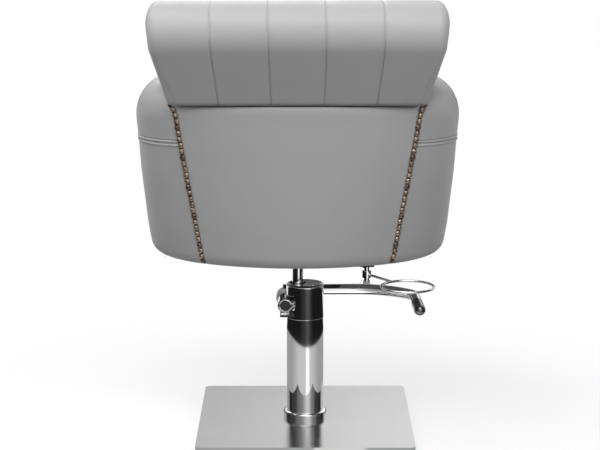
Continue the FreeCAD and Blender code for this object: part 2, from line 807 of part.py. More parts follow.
def swivel_parts():
    """The hub and plate that carry the seat on the ram."""
    hub = turned([(0, 0), (hub_radius_bottom, 0), (hub_radius_top, mount_plate_bottom - hub_bottom),
                  (0, mount_plate_bottom - hub_bottom)], Vector(0, 0, hub_bottom))
    washer_top = ram_top + fit_gap + washer_height
    hub = hub.cut(upright(ram_radius + fit_gap, 0, 0, hub_bottom - overrun, washer_top))
    half = mount_plate_size / 2
    plate = slab(-half, half, -half, half, mount_plate_bottom, shell_bottom, mount_plate_corner)
    bolts = []
    for sx in (-1, 1):
        for sy in (-1, 1):
            x, y = sx * mount_bolt_spacing / 2, sy * mount_bolt_spacing / 2
            plate = plate.cut(upright(mount_bolt_radius + fit_gap, x, y,
                                      mount_plate_bottom - overrun, shell_bottom + overrun))
            bolt_top = shell_bottom + mount_bolt_grip
            shank = upright(mount_bolt_radius, x, y, mount_plate_bottom, bolt_top)
            head_low = mount_plate_bottom - mount_bolt_head_height
            hexagon = [Vector(x + mount_bolt_head * math.cos(math.radians(60 * k)),
                              y + mount_bolt_head * math.sin(math.radians(60 * k)), head_low)
                       for k in range(7)]
            head = Part.Face(Part.makePolygon(hexagon)).extrude(Vector(0, 0, mount_bolt_head_height))
            bolts.append(shank.fuse(head).removeSplitter())
    washer = upright(ram_radius - fit_gap, 0, 0, ram_top + fit_gap, washer_top)
    return {
        "swivel_hub": hub,
        "thrust_washer": washer,
        "mounting_plate": plate,
        "mounting_bolts": group(bolts),
    }


def holder_parts():
    """The hair dryer holder: a post under the seat and a wire loop that swings on it."""
    x, y = holder_x, holder_y
    plate_bottom = shell_bottom - holder_plate_thickness
    plate = slab(x - holder_plate_x / 2, x + holder_plate_x / 2, y - holder_plate_y / 2,
                 y + holder_plate_y / 2, plate_bottom, shell_bottom, holder_post_radius)
    screws = []
    for place in (-holder_screw_spread / 2, holder_screw_spread / 2):
        sx, sy = x + place / 2, y + place
        plate = plate.cut(upright(holder_screw_radius + fit_gap, sx, sy,
                                  plate_bottom - overrun, shell_bottom + overrun))
        top = plate_bottom + holder_screw_length
        shank = upright(holder_screw_radius, sx, sy, plate_bottom, top)
        head = upright(holder_screw_head, sx, sy, plate_bottom - holder_screw_head_height, plate_bottom)
        screws.append(shank.fuse(head).removeSplitter())
    post = upright(holder_post_radius, x, y, holder_post_bottom, plate_bottom)
    knob = upright(knob_radius, x, y, holder_post_bottom - knob_height / 2,
                   holder_post_bottom + knob_height / 2).cut(
        upright(holder_post_radius, x, y, holder_post_bottom, holder_post_bottom + knob_height))
    edge = [e for e in knob.Edges if e.BoundBox.ZMax < holder_post_bottom - knob_height / 2 + fit_gap]
    knob = knob.makeFillet(knob_height / 4, edge)
    collar = upright_tube(collar_radius, holder_post_radius + fit_gap, x, y,
                          collar_bottom, collar_bottom + collar_height)
    middle = Vector(x, y, collar_bottom + collar_height / 2)
    reach = Vector(loop_reach_x, loop_reach_y, 0)
    way = Vector(reach).normalize()
    loop_centre = middle + reach
    loop = Part.makeTorus(loop_radius, wire_radius, loop_centre)
    stem = cylinder(wire_radius, middle + way * (collar_radius - wire_radius / 2),
                    loop_centre - way * loop_radius)
    bore = upright(holder_post_radius + fit_gap, x, y, collar_bottom, collar_bottom + collar_height)
    stem = stem.cut(collar).cut(bore).cut(loop)
    stem = max(stem.Solids, key=lambda s: s.Volume)
    return {
        "holder_plate": plate, "holder_screws": group(screws), "holder_post": post,
        "holder_knob": knob, "holder_collar": collar, "holder_stem": stem, "holder_loop": loop,
    }


class ArmCut:
    """One cut across the right arm: upright on the straight arm, leaning with the nails at its end."""

    def __init__(self, inner, low, high, crest, shoulder, share):
        rise = shell_top - arm_seam
        self.outer, self.inner = low, inner
        self.outer_lean = (high - low) * (1 / rise)
        self.inner_lean = share_between(Vector(0, 0, 1), self.outer_lean, share)
        self.crest, self.shoulder = arm_seam + crest, arm_seam + shoulder

    def at(self, share, z):
        """A point at a height, by its share of the way from the inner face to the outer one."""
        up = z - arm_seam
        return share_between(self.inner + self.inner_lean * up, self.outer + self.outer_lean * up, share)

    def top_edges(self):
        """The edges over the arm's top, from the outer shoulder to the inner one."""
        inner_z = self.crest - arm_inner_drop
        outer_share = share_between(arm_crest_outer_share, 1, arm_bulge_share)
        inner_share = share_between(arm_crest_inner_share, 0, arm_bulge_share)
        shoulder, inside = self.at(1, self.shoulder), self.at(0, inner_z)
        crest = self.at(arm_crest_outer_share, self.crest)
        inner_crest = self.at(arm_crest_inner_share, self.crest)
        outer_bulge = self.at(outer_share, share_between(self.shoulder, self.crest, arm_bulge_share))
        inner_bulge = self.at(inner_share, share_between(inner_z, self.crest, arm_bulge_share))
        return [arc(shoulder, outer_bulge, crest), line(crest, inner_crest),
                arc(inner_crest, inner_bulge, inside)]

    def wire(self, foot_outer, foot_inner):
        """The whole cut, closed between two points at the arm's foot."""
        top = self.top_edges()
        shoulder, inside = self.at(1, self.shoulder), self.at(0, self.crest - arm_inner_drop)
        way_up = [line(a, b) for a, b in zip(foot_outer, foot_outer[1:] + [shoulder])]
        closing = [inside, foot_inner, foot_outer[0]]
        return Part.Wire(way_up + top + [line(a, b) for a, b in zip(closing, closing[1:])])

    def pad_wire(self):
        """The cut of the arm pad alone, which ends at the seam."""
        return self.wire([self.at(1, arm_seam)], self.at(0, arm_seam))


def front_cut(y):
    """The arm's cut at its front end."""
    inner = Vector(seat_half, y, arm_seam)
    low, high = Level(arm_seam), Level(shell_top)
    return ArmCut(inner, low.side(y), high.side(y), arm_crest_front, arm_shoulder_front, 0)


def corner_cut(share):
    """The arm's cut in the round corner, by its share of the way from the straight arm to the nails."""
    low, high = Level(arm_seam), Level(shell_top)
    start = low.corner_centre.y

    def outline(level):
        nail_turn = level.turn + panel_gap / 2 / level.corner_radius
        return level.on_corner(share_between(math.pi / 2, nail_turn, share))

    end = low.nail_point().y + arm_end_depth
    inner = Vector(share_between(seat_half, arm_end_x, share**2),
                   share_between(start, end, share), arm_seam)
    crest = share_between(arm_crest_rear, arm_crest_end, share**2)
    shoulder = share_between(arm_shoulder_rear, arm_shoulder_end, share)
    return ArmCut(inner, outline(low), outline(high), crest, shoulder, share)


def tub_inside():
    """The space inside the outer panels, between the seat board and the arm's seam."""
    inset = panel_thickness + seat_gap
    levels = [z for z, drawn_in in hem_levels(arm_seam) if not drawn_in]
    return loft([deck_outline(z, inset, side_front) for z in levels])


def arm_pad():
    """The right arm's padding: a round-topped pad above the seam and a lining down its inner side."""
    cuts = [front_cut(side_front)]
    cuts += [corner_cut(k / arm_corner_steps) for k in range(arm_corner_steps + 1)]
    pad = loft([cut.pad_wire() for cut in cuts])
    pocket = block(arm_frame_x - seat_gap, arm_frame_x + arm_post_width + seat_gap,
                   arm_frame_rear - seat_gap, arm_frame_front + seat_gap,
                   arm_seam - overrun, arm_rail_top + seat_gap)
    lining = block(seat_half, seat_half + arm_lining, arm_lining_rear, side_front,
                   board_top, arm_seam)
    return pad.cut(pocket).fuse(lining.common(tub_inside())).removeSplitter()


def arm_facing():
    """The right arm's padded front board."""
    foot = Level(shell_bottom + hem_height)
    y = side_front + seat_gap
    low = Vector(foot.half - hem_inset, y, board_bottom)
    wire = front_cut(y).wire([low, foot.side(y)], Vector(seat_half, y, board_bottom))
    return Part.Face(wire).extrude(Vector(0, facing_thickness, 0))


def shell_parts():
    """The tub's outer panels, arm pads and front facings."""
    back = loft([back_panel_section(z, inset) for z, inset in hem_levels(arm_seam, shell_top)])
    side = loft([side_panel_section(z, inset) for z, inset in hem_levels(arm_seam - seat_gap)])
    arm, facing = arm_pad(), arm_facing()
    return {
        "outer_back_panel": back,
        "outer_side_panel_right": side,
        "outer_side_panel_left": mirrored(side),
        "arm_pad_right": arm,
        "arm_pad_left": mirrored(arm),
        "arm_facing_right": facing,
        "arm_facing_left": mirrored(facing),
    }


def deck_parts():
    """The seat's floor: dust cover, board, rails, webbing and the padded front apron."""
    cover = Part.Face(deck_outline(shell_bottom, hem_inset + panel_thickness + seat_gap, side_front))
    cover = cover.extrude(Vector(0, 0, bottom_cover_thickness))
    board = Part.Face(deck_outline(board_bottom, board_inset, side_front))
    board = board.extrude(Vector(0, 0, board_thickness))
    drills = []
    for sx in (-1, 1):
        for sy in (-1, 1):
            drills.append(upright(mount_bolt_radius + fit_gap, sx * mount_bolt_spacing / 2,
                                  sy * mount_bolt_spacing / 2, shell_bottom - overrun,
                                  shell_bottom + mount_bolt_grip + seat_gap))
    for place in (-holder_screw_spread / 2, holder_screw_spread / 2):
        top = shell_bottom - holder_plate_thickness + holder_screw_length + seat_gap
        drills.append(upright(holder_screw_radius + fit_gap, holder_x + place / 2, holder_y + place,
                              shell_bottom - overrun, top))
    for drill in drills:
        cover, board = cover.cut(drill), board.cut(drill)
    rails = [
        block(-rail_half, rail_half, deck_rear, deck_rear + rail_width, board_top, rail_top),
        block(-rail_half, rail_half, deck_front - rail_width, deck_front, board_top, rail_top),
    ]
    for low, high in ((-rail_half, rail_width - rail_half), (rail_half - rail_width, rail_half)):
        rails.append(block(low, high, deck_rear + rail_width, deck_front - rail_width, board_top, rail_top))
    nose = block(-rail_half, rail_half, side_front, deck_front, board_bottom, board_top)
    long_straps, cross_straps = [], []
    for k in range(straps_long):
        middle = share_between(-rail_half, rail_half, (k + 0.5) / straps_long)
        long_straps.append(block(middle - strap_width / 2, middle + strap_width / 2,
                                 deck_rear, deck_front, rail_top, strap_top))
    for k in range(straps_cross):
        middle = share_between(deck_rear, deck_front, (k + 0.5) / straps_cross)
        cross_straps.append(block(-rail_half, rail_half, middle - strap_width / 2,
                                  middle + strap_width / 2, strap_top, strap_top + strap_thickness))
    apron = slab(-apron_half, apron_half, deck_front, deck_front + apron_thickness,
                 board_bottom, apron_top, apron_edge)
    return {
        "dust_cover": cover,
        "seat_board": board,
        "seat_rails": group(rails + [nose]),
        "webbing_lengthwise": group(long_straps),
        "webbing_crosswise": group(cross_straps),
        "front_apron": apron,
    }


def cushion():
    """The seat cushion: drawn in at its foot, full at its side and crowned on top."""
    top = cushion_bottom + cushion_height - cushion_crown
    levels = [(cushion_bottom, cushion_tuck), (cushion_bottom + cushion_tuck, cushion_tuck / 3),
              (cushion_bottom + cushion_edge, 0.0)]
    for k in range(cushion_levels + 1):
        angle = math.pi / 2 * k / cushion_levels
        levels.append((top - cushion_edge * (1 - math.sin(angle)), cushion_edge * (1 - math.cos(angle))))
    for k in range(1, cushion_levels):
        share = k / (cushion_levels - 1)
        inset = share_between(cushion_edge, cushion_crown_inset, share)
        levels.append((top + cushion_crown * math.sin(share * math.pi / 2), inset))
    wires = [
        rounded_outline(inset - cushion_half, cushion_half - inset, cushion_rear + inset,
                        cushion_front - inset, cushion_corner, z)
        for z, inset in levels
    ]
    return loft(wires)


class PadPath:
    """The back pad's face as seen from the side: up the back, over the roll and in under it."""

    def __init__(self):
        centre = Vector(0, roll_centre_y, roll_centre_z)
        foot = Vector(0, pad_foot_y, pad_foot_z)
        end = Vector(0, back_y_top, roll_foot_z)
        to_foot, to_end = centre - foot, centre - end
        lean = math.atan2(-to_foot.y, to_foot.z) - math.asin(roll_radius / to_foot.Length)
        under = math.atan2(-to_end.y, to_end.z) + math.asin(roll_radius / to_end.Length)
        self.centre, self.foot, self.end = centre, foot, end
        self.first = lean
        self.last = math.pi + under
        self.rise = (self.on_roll(self.first)[0] - foot).Length
        self.fall = (self.on_roll(self.last)[0] - end).Length

    def on_roll(self, angle):
        """A point of the roll and its outward way, by the way's angle above the front."""
        way = Vector(0, math.cos(angle), math.sin(angle))
        return self.centre + way * roll_radius, way

    def on_back(self, share):
        """A point of the straight back face, by its share of the rise."""
        point, way = self.on_roll(self.first)
        return self.foot + (point - self.foot) * share, way

    def under(self, share):
        """A point of the underside, by its share of the fall."""
        point, way = self.on_roll(self.last)
        return point + (self.end - point) * share, way


def pad_stations(path):
    """Places along the pad with its half width and thickness there, from its foot to its end."""
    back = [
        (path.on_back(0), pad_half_foot, pad_thickness_foot),
        (path.on_back(arm_level_share / 2), pad_half_foot, pad_thickness_back),
    ]
    for k in range(flare_steps):
        share = k / flare_steps
        half = share_between(pad_half_arm, pad_half_front, share**flare_power)
        back.append((path.on_back(share_between(arm_level_share, 1, share)), half, pad_thickness_back))
    halves = [pad_half_front, pad_half_crest, pad_half_roll, pad_half_under]
    roll, under = [], []
    for k in range(roll_steps + 1):
        share = k / roll_steps
        step = share * (len(halves) - 1)
        low = min(int(step), len(halves) - 2)
        half = share_between(halves[low], halves[low + 1], step - low)
        thickness = share_between(pad_thickness_back, pad_thickness_roll, min(1.0, 2 * share))
        roll.append((path.on_roll(share_between(path.first, path.last, share)), half, thickness))
    for k in range(1, under_steps + 1):
        share = k / under_steps
        half = share_between(pad_half_under, pad_half_end, share)
        under.append((path.under(share), half, share_between(pad_thickness_roll, pad_thickness_end, share)))
    return back + roll + under


def pad_section(place, half, thickness):
    """The channelled pad cut across its width: five crowned channels, round sides, flat back."""
    point, way = place
    pitch = channel_pitch * share_between(1, half / pad_half_roll, channel_follow_share)
    seams = [pitch * (k - 1.5) for k in range(4)]
    borders = [-half] + seams + [half]
    across = Vector(1, 0, 0)
    edges = []
    for a, b in zip(borders, borders[1:]):
        edges.append(arc(point + across * a - way * channel_crown, point + across * ((a + b) / 2),
                         point + across * b - way * channel_crown))
    right_front = point + across * half - way * channel_crown
    right_back = point + across * half - way * thickness
    left_back = point - across * half - way * thickness
    left_front = point - across * half - way * channel_crown
    side = (channel_crown + thickness) / 2
    edges.append(arc(right_front, point + across * (half + pad_side_bulge) - way * side, right_back))
    edges.append(line(right_back, left_back))
    edges.append(arc(left_back, point - across * (half + pad_side_bulge) - way * side, left_front))
    return Part.Wire(edges)


def roll_core(stations):
    """The firm filling that the pad wraps: its side profile, trimmed to the pad's width in front."""
    inner = [place[0] - place[1] * (thickness + seat_gap) for place, half, thickness in stations]
    profile = Part.Face(Part.makePolygon(inner + inner[:1]))
    far = 2 * pad_half_roll
    core = profile.extrude(Vector(far, 0, 0))
    core.translate(Vector(-far / 2, 0, 0))
    crest = max(range(len(inner)), key=lambda k: inner[k].z)
    low = min(point.z for point in inner)
    edge = [Vector(stations[k][1] - core_inset, 0, inner[k].z) for k in range(crest)]
    top = Vector(edge[-1].x, 0, inner[crest].z + overrun)
    right = [Vector(edge[0].x, 0, low - overrun)] + edge + [top]
    left = [Vector(-p.x, 0, p.z) for p in reversed(right)]
    width = Part.Face(Part.makePolygon(right + left + right[:1])).extrude(Vector(0, -far, 0))
    return core.common(width)


def slanted_block(path, x_low, x_high, z_low, z_high):
    """A board behind the pad, by the widths at its foot and top: (left, right) at each."""
    start, way = path.on_back(0)
    end, _ = path.on_back(1)
    wires = []
    for (left, right), z in ((x_low, z_low), (x_high, z_high)):
        face = share_between(start, end, (z - start.z) / (end.z - start.z)).y
        front = face - (pad_thickness_back + seat_gap) / way.y
        rear = front - post_depth / way.y
        ring = [Vector(x, y, z) for x, y in
                ((left, front), (right, front), (right, rear), (left, rear))]
        wires.append(Part.makePolygon(ring + ring[:1]))
    return loft(wires)


def back_frame(path):
    """Two posts and two rails behind the pad, and the head board above them."""
    low, high = board_top, post_top
    pieces = []
    for side in (-1, 1):
        ends = []
        for z in (low, high):
            middle = side * (Level(z).nail_point().x - post_inset)
            ends.append((middle - post_width / 2, middle + post_width / 2))
        pieces.append(slanted_block(path, ends[0], ends[1], low, high))
    for z in (low, high - back_rail_height):
        spans = []
        for height in (z, z + back_rail_height):
            reach = Level(height).nail_point().x - post_inset - post_width / 2
            spans.append((-reach, reach))
        pieces.append(slanted_block(path, spans[0], spans[1], z, z + back_rail_height))
    span = (-head_board_half, head_board_half)
    pieces.append(slanted_block(path, span, span, high, head_board_top))
    return pieces


def back_parts():
    """The channelled pad, the filling of its roll and the wooden frame behind it."""
    path = PadPath()
    stations = pad_stations(path)
    frame = back_frame(path)
    core = roll_core(stations[-under_steps - roll_steps - neck_step:]).cut(frame[-1])
    return {
        "back_pad": loft([pad_section(*station) for station in stations]),
        "roll_core": core,
        "back_frame": group(frame),
    }


def arm_frame_parts():
    """The wooden frame inside each arm: two posts and a rail."""
    x0, x1 = arm_frame_x, arm_frame_x + arm_post_width
    rail_low = arm_rail_top - arm_rail_height
    arm = group([
        block(x0, x1, arm_frame_rear, arm_frame_rear + arm_post_depth, board_top, rail_low),
        block(x0, x1, arm_frame_front - arm_post_depth, arm_frame_front, board_top, rail_low),
        block(x0, x1, arm_frame_rear, arm_frame_front, rail_low, arm_rail_top),
    ])
    return {"arm_frame_right": arm, "arm_frame_left": mirrored(arm)}


def nail_turn(z):
    """Where the nail strip lies on the round corner, as an angle: it swings out under the roll."""
    level = Level(z)
    swing = max(0, 1 - (nail_end - z) / nail_swing_height)
    return level.turn + nail_swing * swing**2 / level.corner_radius


def nail_places():
    """Points on the joint between back and side panels with the way out and the way up at each."""
    places, z = [], nail_start
    while z < nail_end:
        turn, next_z = nail_turn(z), z + nail_radius
        point = Level(z).on_corner(turn)
        up = (Level(next_z).on_corner(nail_turn(next_z)) - point).normalize()
        way = Vector(math.sin(turn), -math.cos(turn), 0)
        way = (way - up * way.dot(up)).normalize()
        places.append((point, way, up))
        z += nail_pitch * up.z
    return places


def strip_section(place):
    """The flat band under the domes, cut across."""
    point, way, up = place
    across = up.cross(way).normalize() * (strip_width / 2)
    low, high = way * seat_gap, way * (seat_gap + strip_thickness)
    ring = [point - across + low, point + across + low, point + across + high, point - across + high]
    return Part.makePolygon(ring + ring[:1])


def nail_head(foot, way, up):
    """One dome with a flat foot, turned about the way out."""
    bead_radius = (nail_radius**2 + nail_dome**2) / (2 * nail_dome)
    centre = foot - way * (bead_radius - nail_dome)
    half = math.asin(nail_radius / bead_radius) / 2
    top, edge = foot + way * nail_dome, foot + up * nail_radius
    middle = centre + (way * math.cos(half) + up * math.sin(half)) * bead_radius
    profile = Part.Wire([line(foot, top), arc(top, middle, edge), line(edge, foot)])
    return Part.Face(profile).revolve(foot, way, 360)


def nail_parts():
    """A stamped strip of domes up each side of the back, held by a real nail at every fifth dome."""
    places = nail_places()
    domes, nails, holes = [], [], []
    for k, (point, way, up) in enumerate(places[1:-1]):
        foot = point + way * (seat_gap + strip_thickness / 2)
        dome = nail_head(foot, way, up)
        if k % nail_every != nail_every // 2:
            domes.append(dome)
            continue
        shank_end = foot - way * nail_shank_length
        shank = cylinder(nail_shank_radius, shank_end, foot + way * (nail_dome / 2))
        nails.append(dome.translated(way * (strip_thickness / 2 + fit_gap)).fuse(shank).removeSplitter())
        holes.append(cylinder(nail_shank_radius + fit_gap, shank_end, foot + way * overrun))
    strip = loft([strip_section(place) for place in places], ruled=False).multiFuse(domes)
    for hole in holes:
        strip = strip.cut(hole)
    strip = max(strip.Solids, key=lambda s: s.Volume)
    nails = group(nails)
    return {
        "nail_strip_right": strip,
        "nail_strip_left": mirrored(strip),
        "strip_nails_right": nails,
        "strip_nails_left": mirrored(nails),
    }


def main():
    """Builds every piece and writes it."""
    standing = {**base_parts(), **pump_parts(), **ram_parts(), **lever_parts(), **plunger_parts()}
    seat = {**swivel_parts(), **holder_parts(), **shell_parts(), **deck_parts(), **back_parts(),
            **arm_frame_parts(), **nail_parts(), "seat_cushion": cushion()}
    for name, shape in seat.items():
        moved = shape.copy()
        moved.translate(Vector(-ram_offset, 0, 0))
        standing[name] = moved
    for name, shape in standing.items():
        state = "" if shape.isValid() else "  NOT VALID"
        shape.exportStep(f"parts/{name}.step")
        print(f"{name:26s} solids {len(shape.Solids):3d}  volume {shape.Volume / 1000:9.1f} cm3{state}")
    print(len(standing), "nodes")


main()
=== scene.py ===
"""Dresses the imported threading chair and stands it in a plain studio.

The chair is seen from behind: a tub of grey leatherette whose channelled back rolls over its head
board, two strips of antique brass nails, a chromed pump column with its foot lever, a hair dryer
holder and a square brushed base. Lengths are in metres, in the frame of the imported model.
"""

import logging
import math
import random
from dataclasses import dataclass
from enum import Enum
from typing import Callable, Iterable, Sequence

import bmesh
import bpy
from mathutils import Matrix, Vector, noise
from mathutils.bvhtree import BVHTree


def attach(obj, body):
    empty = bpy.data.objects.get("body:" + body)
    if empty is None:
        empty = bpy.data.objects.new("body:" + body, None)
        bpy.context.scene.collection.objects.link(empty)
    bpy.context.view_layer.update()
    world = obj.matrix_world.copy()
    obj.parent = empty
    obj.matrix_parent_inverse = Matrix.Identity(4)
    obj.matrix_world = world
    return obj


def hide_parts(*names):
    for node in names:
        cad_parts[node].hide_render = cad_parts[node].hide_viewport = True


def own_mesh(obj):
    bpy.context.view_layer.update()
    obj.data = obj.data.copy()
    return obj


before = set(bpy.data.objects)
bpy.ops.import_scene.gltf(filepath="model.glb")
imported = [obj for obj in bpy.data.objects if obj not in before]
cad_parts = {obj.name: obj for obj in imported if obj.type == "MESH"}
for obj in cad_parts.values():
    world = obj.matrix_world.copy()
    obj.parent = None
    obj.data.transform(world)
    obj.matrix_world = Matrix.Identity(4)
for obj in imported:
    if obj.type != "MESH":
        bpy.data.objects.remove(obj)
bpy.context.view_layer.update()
log = logging.getLogger("chair")

Value = float | Vector
Spots = tuple[Vector, Vector]  # an outer and an inner point
Colour = tuple[float, float, float]
Pair = tuple[float, float]
Stops = Sequence[Pair]
Place = tuple[Vector, Vector, Vector]  # a point, the way out and the way up
SEAT_X = -0.0155  # the seat's middle lies a little beside the column's axis
FULL_TURN = 2 * math.pi
QUARTER = math.pi / 2
WHITE = (1.0, 1.0, 1.0)
SIDES = ((False, "right"), (True, "left"))  # whether each side's pieces are mirrored


def between(a: Value, b: Value, share: float) -> Value:
    """The value or point that lies a share of the way from a to b."""
    return a + (b - a) * share


def eased(share: float) -> float:
    """A share from 0 to 1 that starts and stops gently."""
    held = min(1.0, max(0.0, share))
    return held * held * (3 - 2 * held)


def rolled(distance: float, reach: float, depth: float) -> float:
    """How far a padded edge has turned down.

    Args:
        distance: how far the point lies from the edge.
        reach: where the turning starts.
        depth: how far the edge itself lies below the face.

    Returns:
        The drop below the face, along a quarter of an ellipse.
    """
    if distance >= reach:
        return 0.0
    share = 1 - max(0.0, distance) / reach
    return depth * (1 - math.sqrt(max(0.0, 1 - share * share)))


def bunched(count: int) -> list[float]:
    """Shares from 0 to 1 that lie closer together at both ends."""
    return [(1 - math.cos(math.pi * k / (count - 1))) / 2 for k in range(count)]


def evenly(count: int) -> list[float]:
    """Shares from 0 to 1 in equal steps."""
    return [k / (count - 1) for k in range(count)]


def around(count: int) -> list[float]:
    """Angles in equal steps round a full turn."""
    return [FULL_TURN * k / count for k in range(count)]


def ripple(point: Vector, size: float, height: float) -> float:
    """A small soft unevenness of stretched cover at a point, with hollows about size apart."""
    return height * noise.noise(point / size)


def hue(red: float, green: float, blue: float) -> Colour:
    """The linear colour of three display values from 0 to 255."""

    def linear(value: float) -> float:
        """One channel, from its display value to its linear one."""
        share = value / 255
        return share / 12.92 if share <= 0.04045 else ((share + 0.055) / 1.055) ** 2.4

    return linear(red), linear(green), linear(blue)


def tone(level: float) -> Colour:
    """The linear colour of a grey, given as its display value from 0 to 255."""
    return hue(level, level, level)


def placed(name: str, data: bpy.types.ID) -> bpy.types.Object:
    """A new object of the scene that shows the data."""
    made = bpy.data.objects.new(name, data)
    bpy.context.scene.collection.objects.link(made)
    return made


def summed(operation: str, turned: bool = False) -> Callable[["Shade", object], "Shade"]:
    """The method that joins a shade and another value.

    Args:
        operation: the Math node's operation.
        turned: True where the other value comes first.

    Returns:
        The method.
    """

    def method(self: "Shade", other: object) -> "Shade":
        """The result of one Math node on both values."""
        first, second = (other, self) if turned else (self, other)
        return self.sheet.shade("Math", {0: first, 1: second}, operation=operation)

    return method


class Shade:
    """One output of a shader node, which takes part in sums that are written as Python."""

    def __init__(self, sheet: "NodeSheet", socket: bpy.types.NodeSocket) -> None:
        """Keeps the socket and the sheet that it belongs to."""
        self.sheet = sheet
        self.socket = socket

    __add__ = __radd__ = summed("ADD")
    __sub__ = summed("SUBTRACT")
    __rsub__ = summed("SUBTRACT", True)
    __mul__ = __rmul__ = summed("MULTIPLY")
    __truediv__ = summed("DIVIDE")
    __pow__ = summed("POWER")
    __gt__ = summed("GREATER_THAN")
    __lt__ = summed("LESS_THAN")
    most = summed("MAXIMUM")

    def __abs__(self) -> "Shade":
        """This value without its sign."""
        return self.sheet.shade("Math", {0: self}, operation="ABSOLUTE")


class NodeSheet:
    """The node tree of one material or of the world."""

    def __init__(self, tree: bpy.types.NodeTree) -> None:
        """Empties the tree and keeps it."""
        self.tree = tree
        tree.nodes.clear()

    def node(self, kind: str, inputs: dict | None = None, **settings: object) -> bpy.types.Node:
        """Makes one node.

        Args:
            kind: the node's type.
            inputs: values or shades for its sockets, by name or number.
            settings: its own settings, set first. Stops are a ramp's (place, value) pairs.

        Returns:
            The new node.
        """
        made = self.tree.nodes.new("ShaderNode" + kind)
        for name, value in settings.items():
            if name == "stops":
                self._set_stops(made.color_ramp, value)
            else:
                setattr(made, name, value)
        for key, value in (inputs or {}).items():
            if isinstance(value, Shade):
                self.tree.links.new(value.socket, made.inputs[key])
            elif isinstance(value, (tuple, list)) and made.inputs[key].type == "RGBA":
                made.inputs[key].default_value = (*value[:3], 1.0)
            else:
                made.inputs[key].default_value = value
        return made

    @staticmethod
    def _set_stops(ramp: bpy.types.ColorRamp, stops: Stops) -> None:
        """Gives a ramp its grey stops, as (place, value) pairs."""
        while len(ramp.elements) > 1:
            ramp.elements.remove(ramp.elements[-1])
        for k, (place, value) in enumerate(stops):
            stop = ramp.elements[0] if k == 0 else ramp.elements.new(place)
            stop.position = place
            stop.color = (value, value, value, 1.0)

    def shade(self, kind: str, inputs: dict | None = None, output: int | str = 0,
              **settings: object) -> Shade:
        """Makes one node, as node() does, and gives one of its outputs as a shade."""
        return Shade(self, self.node(kind, inputs, **settings).outputs[output])

    def place(self) -> Shade:
        """The point of the surface in the object's own space, in metres."""
        return self.shade("TexCoord", output="Object")

    def parts(self, way: Shade) -> list[Shade]:
        """The three parts of a vector."""
        return [Shade(self, part) for part in self.node("SeparateXYZ", {0: way}).outputs]

    def rays(self) -> list[Shade]:
        """1 where the camera looks straight on, and 1 where polished metal mirrors, else 0."""
        ray = self.node("LightPath")
        return [Shade(self, ray.outputs[f"Is {kind} Ray"]) for kind in ("Camera", "Glossy")]

    def cloud(self, scale: float, detail: float = 3.0, rough: float = 0.5,
              point: Shade | None = None) -> Shade:
        """Soft noise from 0 to 1, with so many blobs in a metre and so many finer layers."""
        return self.shade("TexNoise", {"Vector": point or self.place(), "Scale": scale, "Detail": detail,
                                       "Roughness": rough})

    def stretched(self, scale: Colour) -> Shade:
        """The surface's point with each of its sides multiplied."""
        return self.shade("VectorMath", {0: self.place(), 1: scale}, operation="MULTIPLY")

    def streaks(self, scale: Colour, detail: float, rough: float = 0.5) -> Shade:
        """Noise with so many streaks in a metre along each axis."""
        return self.cloud(1.0, detail, rough, self.stretched(scale))

    def ramp(self, value: Shade, stops: Stops) -> Shade:
        """A value passed through grey stops."""
        return self.shade("ValToRGB", {0: value}, stops=stops)

    def blend(self, share: Shade, first: Shade | Colour, second: Shade | Colour) -> Shade:
        """A colour that goes from the first to the second as the share goes from 0 to 1."""
        return self.shade("Mix", {0: share, 6: first, 7: second}, 2, data_type="RGBA")

    def bump(self, height: Shade, distance: float) -> Shade:
        """A bumped normal from a height of 0 to 1 over a distance in metres."""
        return self.shade("Bump", {"Strength": 1.0, "Distance": distance, "Height": height})


class Finish:
    """What every finish does: it makes one material, once, and hands it out."""

    _made: dict[str, bpy.types.Material] = {}
    name: str
    colour: Colour

    def paint(self, sheet: NodeSheet) -> dict:
        """The values and shades of the surface shader's sockets."""
        raise NotImplementedError

    def shades(self, low: float, high: float = 1.0) -> list[Colour]:
        """The finish's colour, made darker by one factor and lighter by another."""
        return [tuple(min(1.0, part * factor) for part in self.colour) for factor in (low, high)]

    def material(self) -> bpy.types.Material:
        """The finish as a material, made at its first use."""
        if self.name not in Finish._made:
            made = bpy.data.materials.new(self.name)
            made.use_nodes = True
            sheet = NodeSheet(made.node_tree)
            surface = sheet.shade("BsdfPrincipled", self.paint(sheet))
            sheet.node("OutputMaterial", {0: surface})
            Finish._made[self.name] = made
        return Finish._made[self.name]


@dataclass(frozen=True)
class Leatherette(Finish):
    """Smooth coated upholstery cloth with a fine pebbled grain."""

    name: str = "grey_leatherette"
    colour: Colour = tone(157)
    roughness: float = 0.46
    grain: float = 0.0013
    depth: float = 0.00006

    def paint(self, sheet: NodeSheet) -> dict:
        """Grain as cells with creases between them, over a slow change of tone."""
        cells = sheet.shade("TexVoronoi", {"Vector": sheet.place(), "Scale": 1 / self.grain},
                            feature="DISTANCE_TO_EDGE")
        pebble = sheet.ramp(cells, [(0.0, 0.0), (0.12, 0.75), (0.4, 1.0)])
        crease, slow = sheet.cloud(260, 4.0, 0.6), sheet.cloud(7)
        worn = sheet.blend(slow * 0.6 + crease * 0.2, *self.shades(0.965, 1.03))
        return {
            "Base Color": sheet.blend(pebble * 0.7 + 0.3, self.shades(0.86)[0], worn),
            "Roughness": self.roughness + slow * 0.05 - pebble * 0.03,
            "Normal": sheet.bump(pebble * 0.7 + crease * 0.5, self.depth),
            "Specular IOR Level": 0.32,
        }


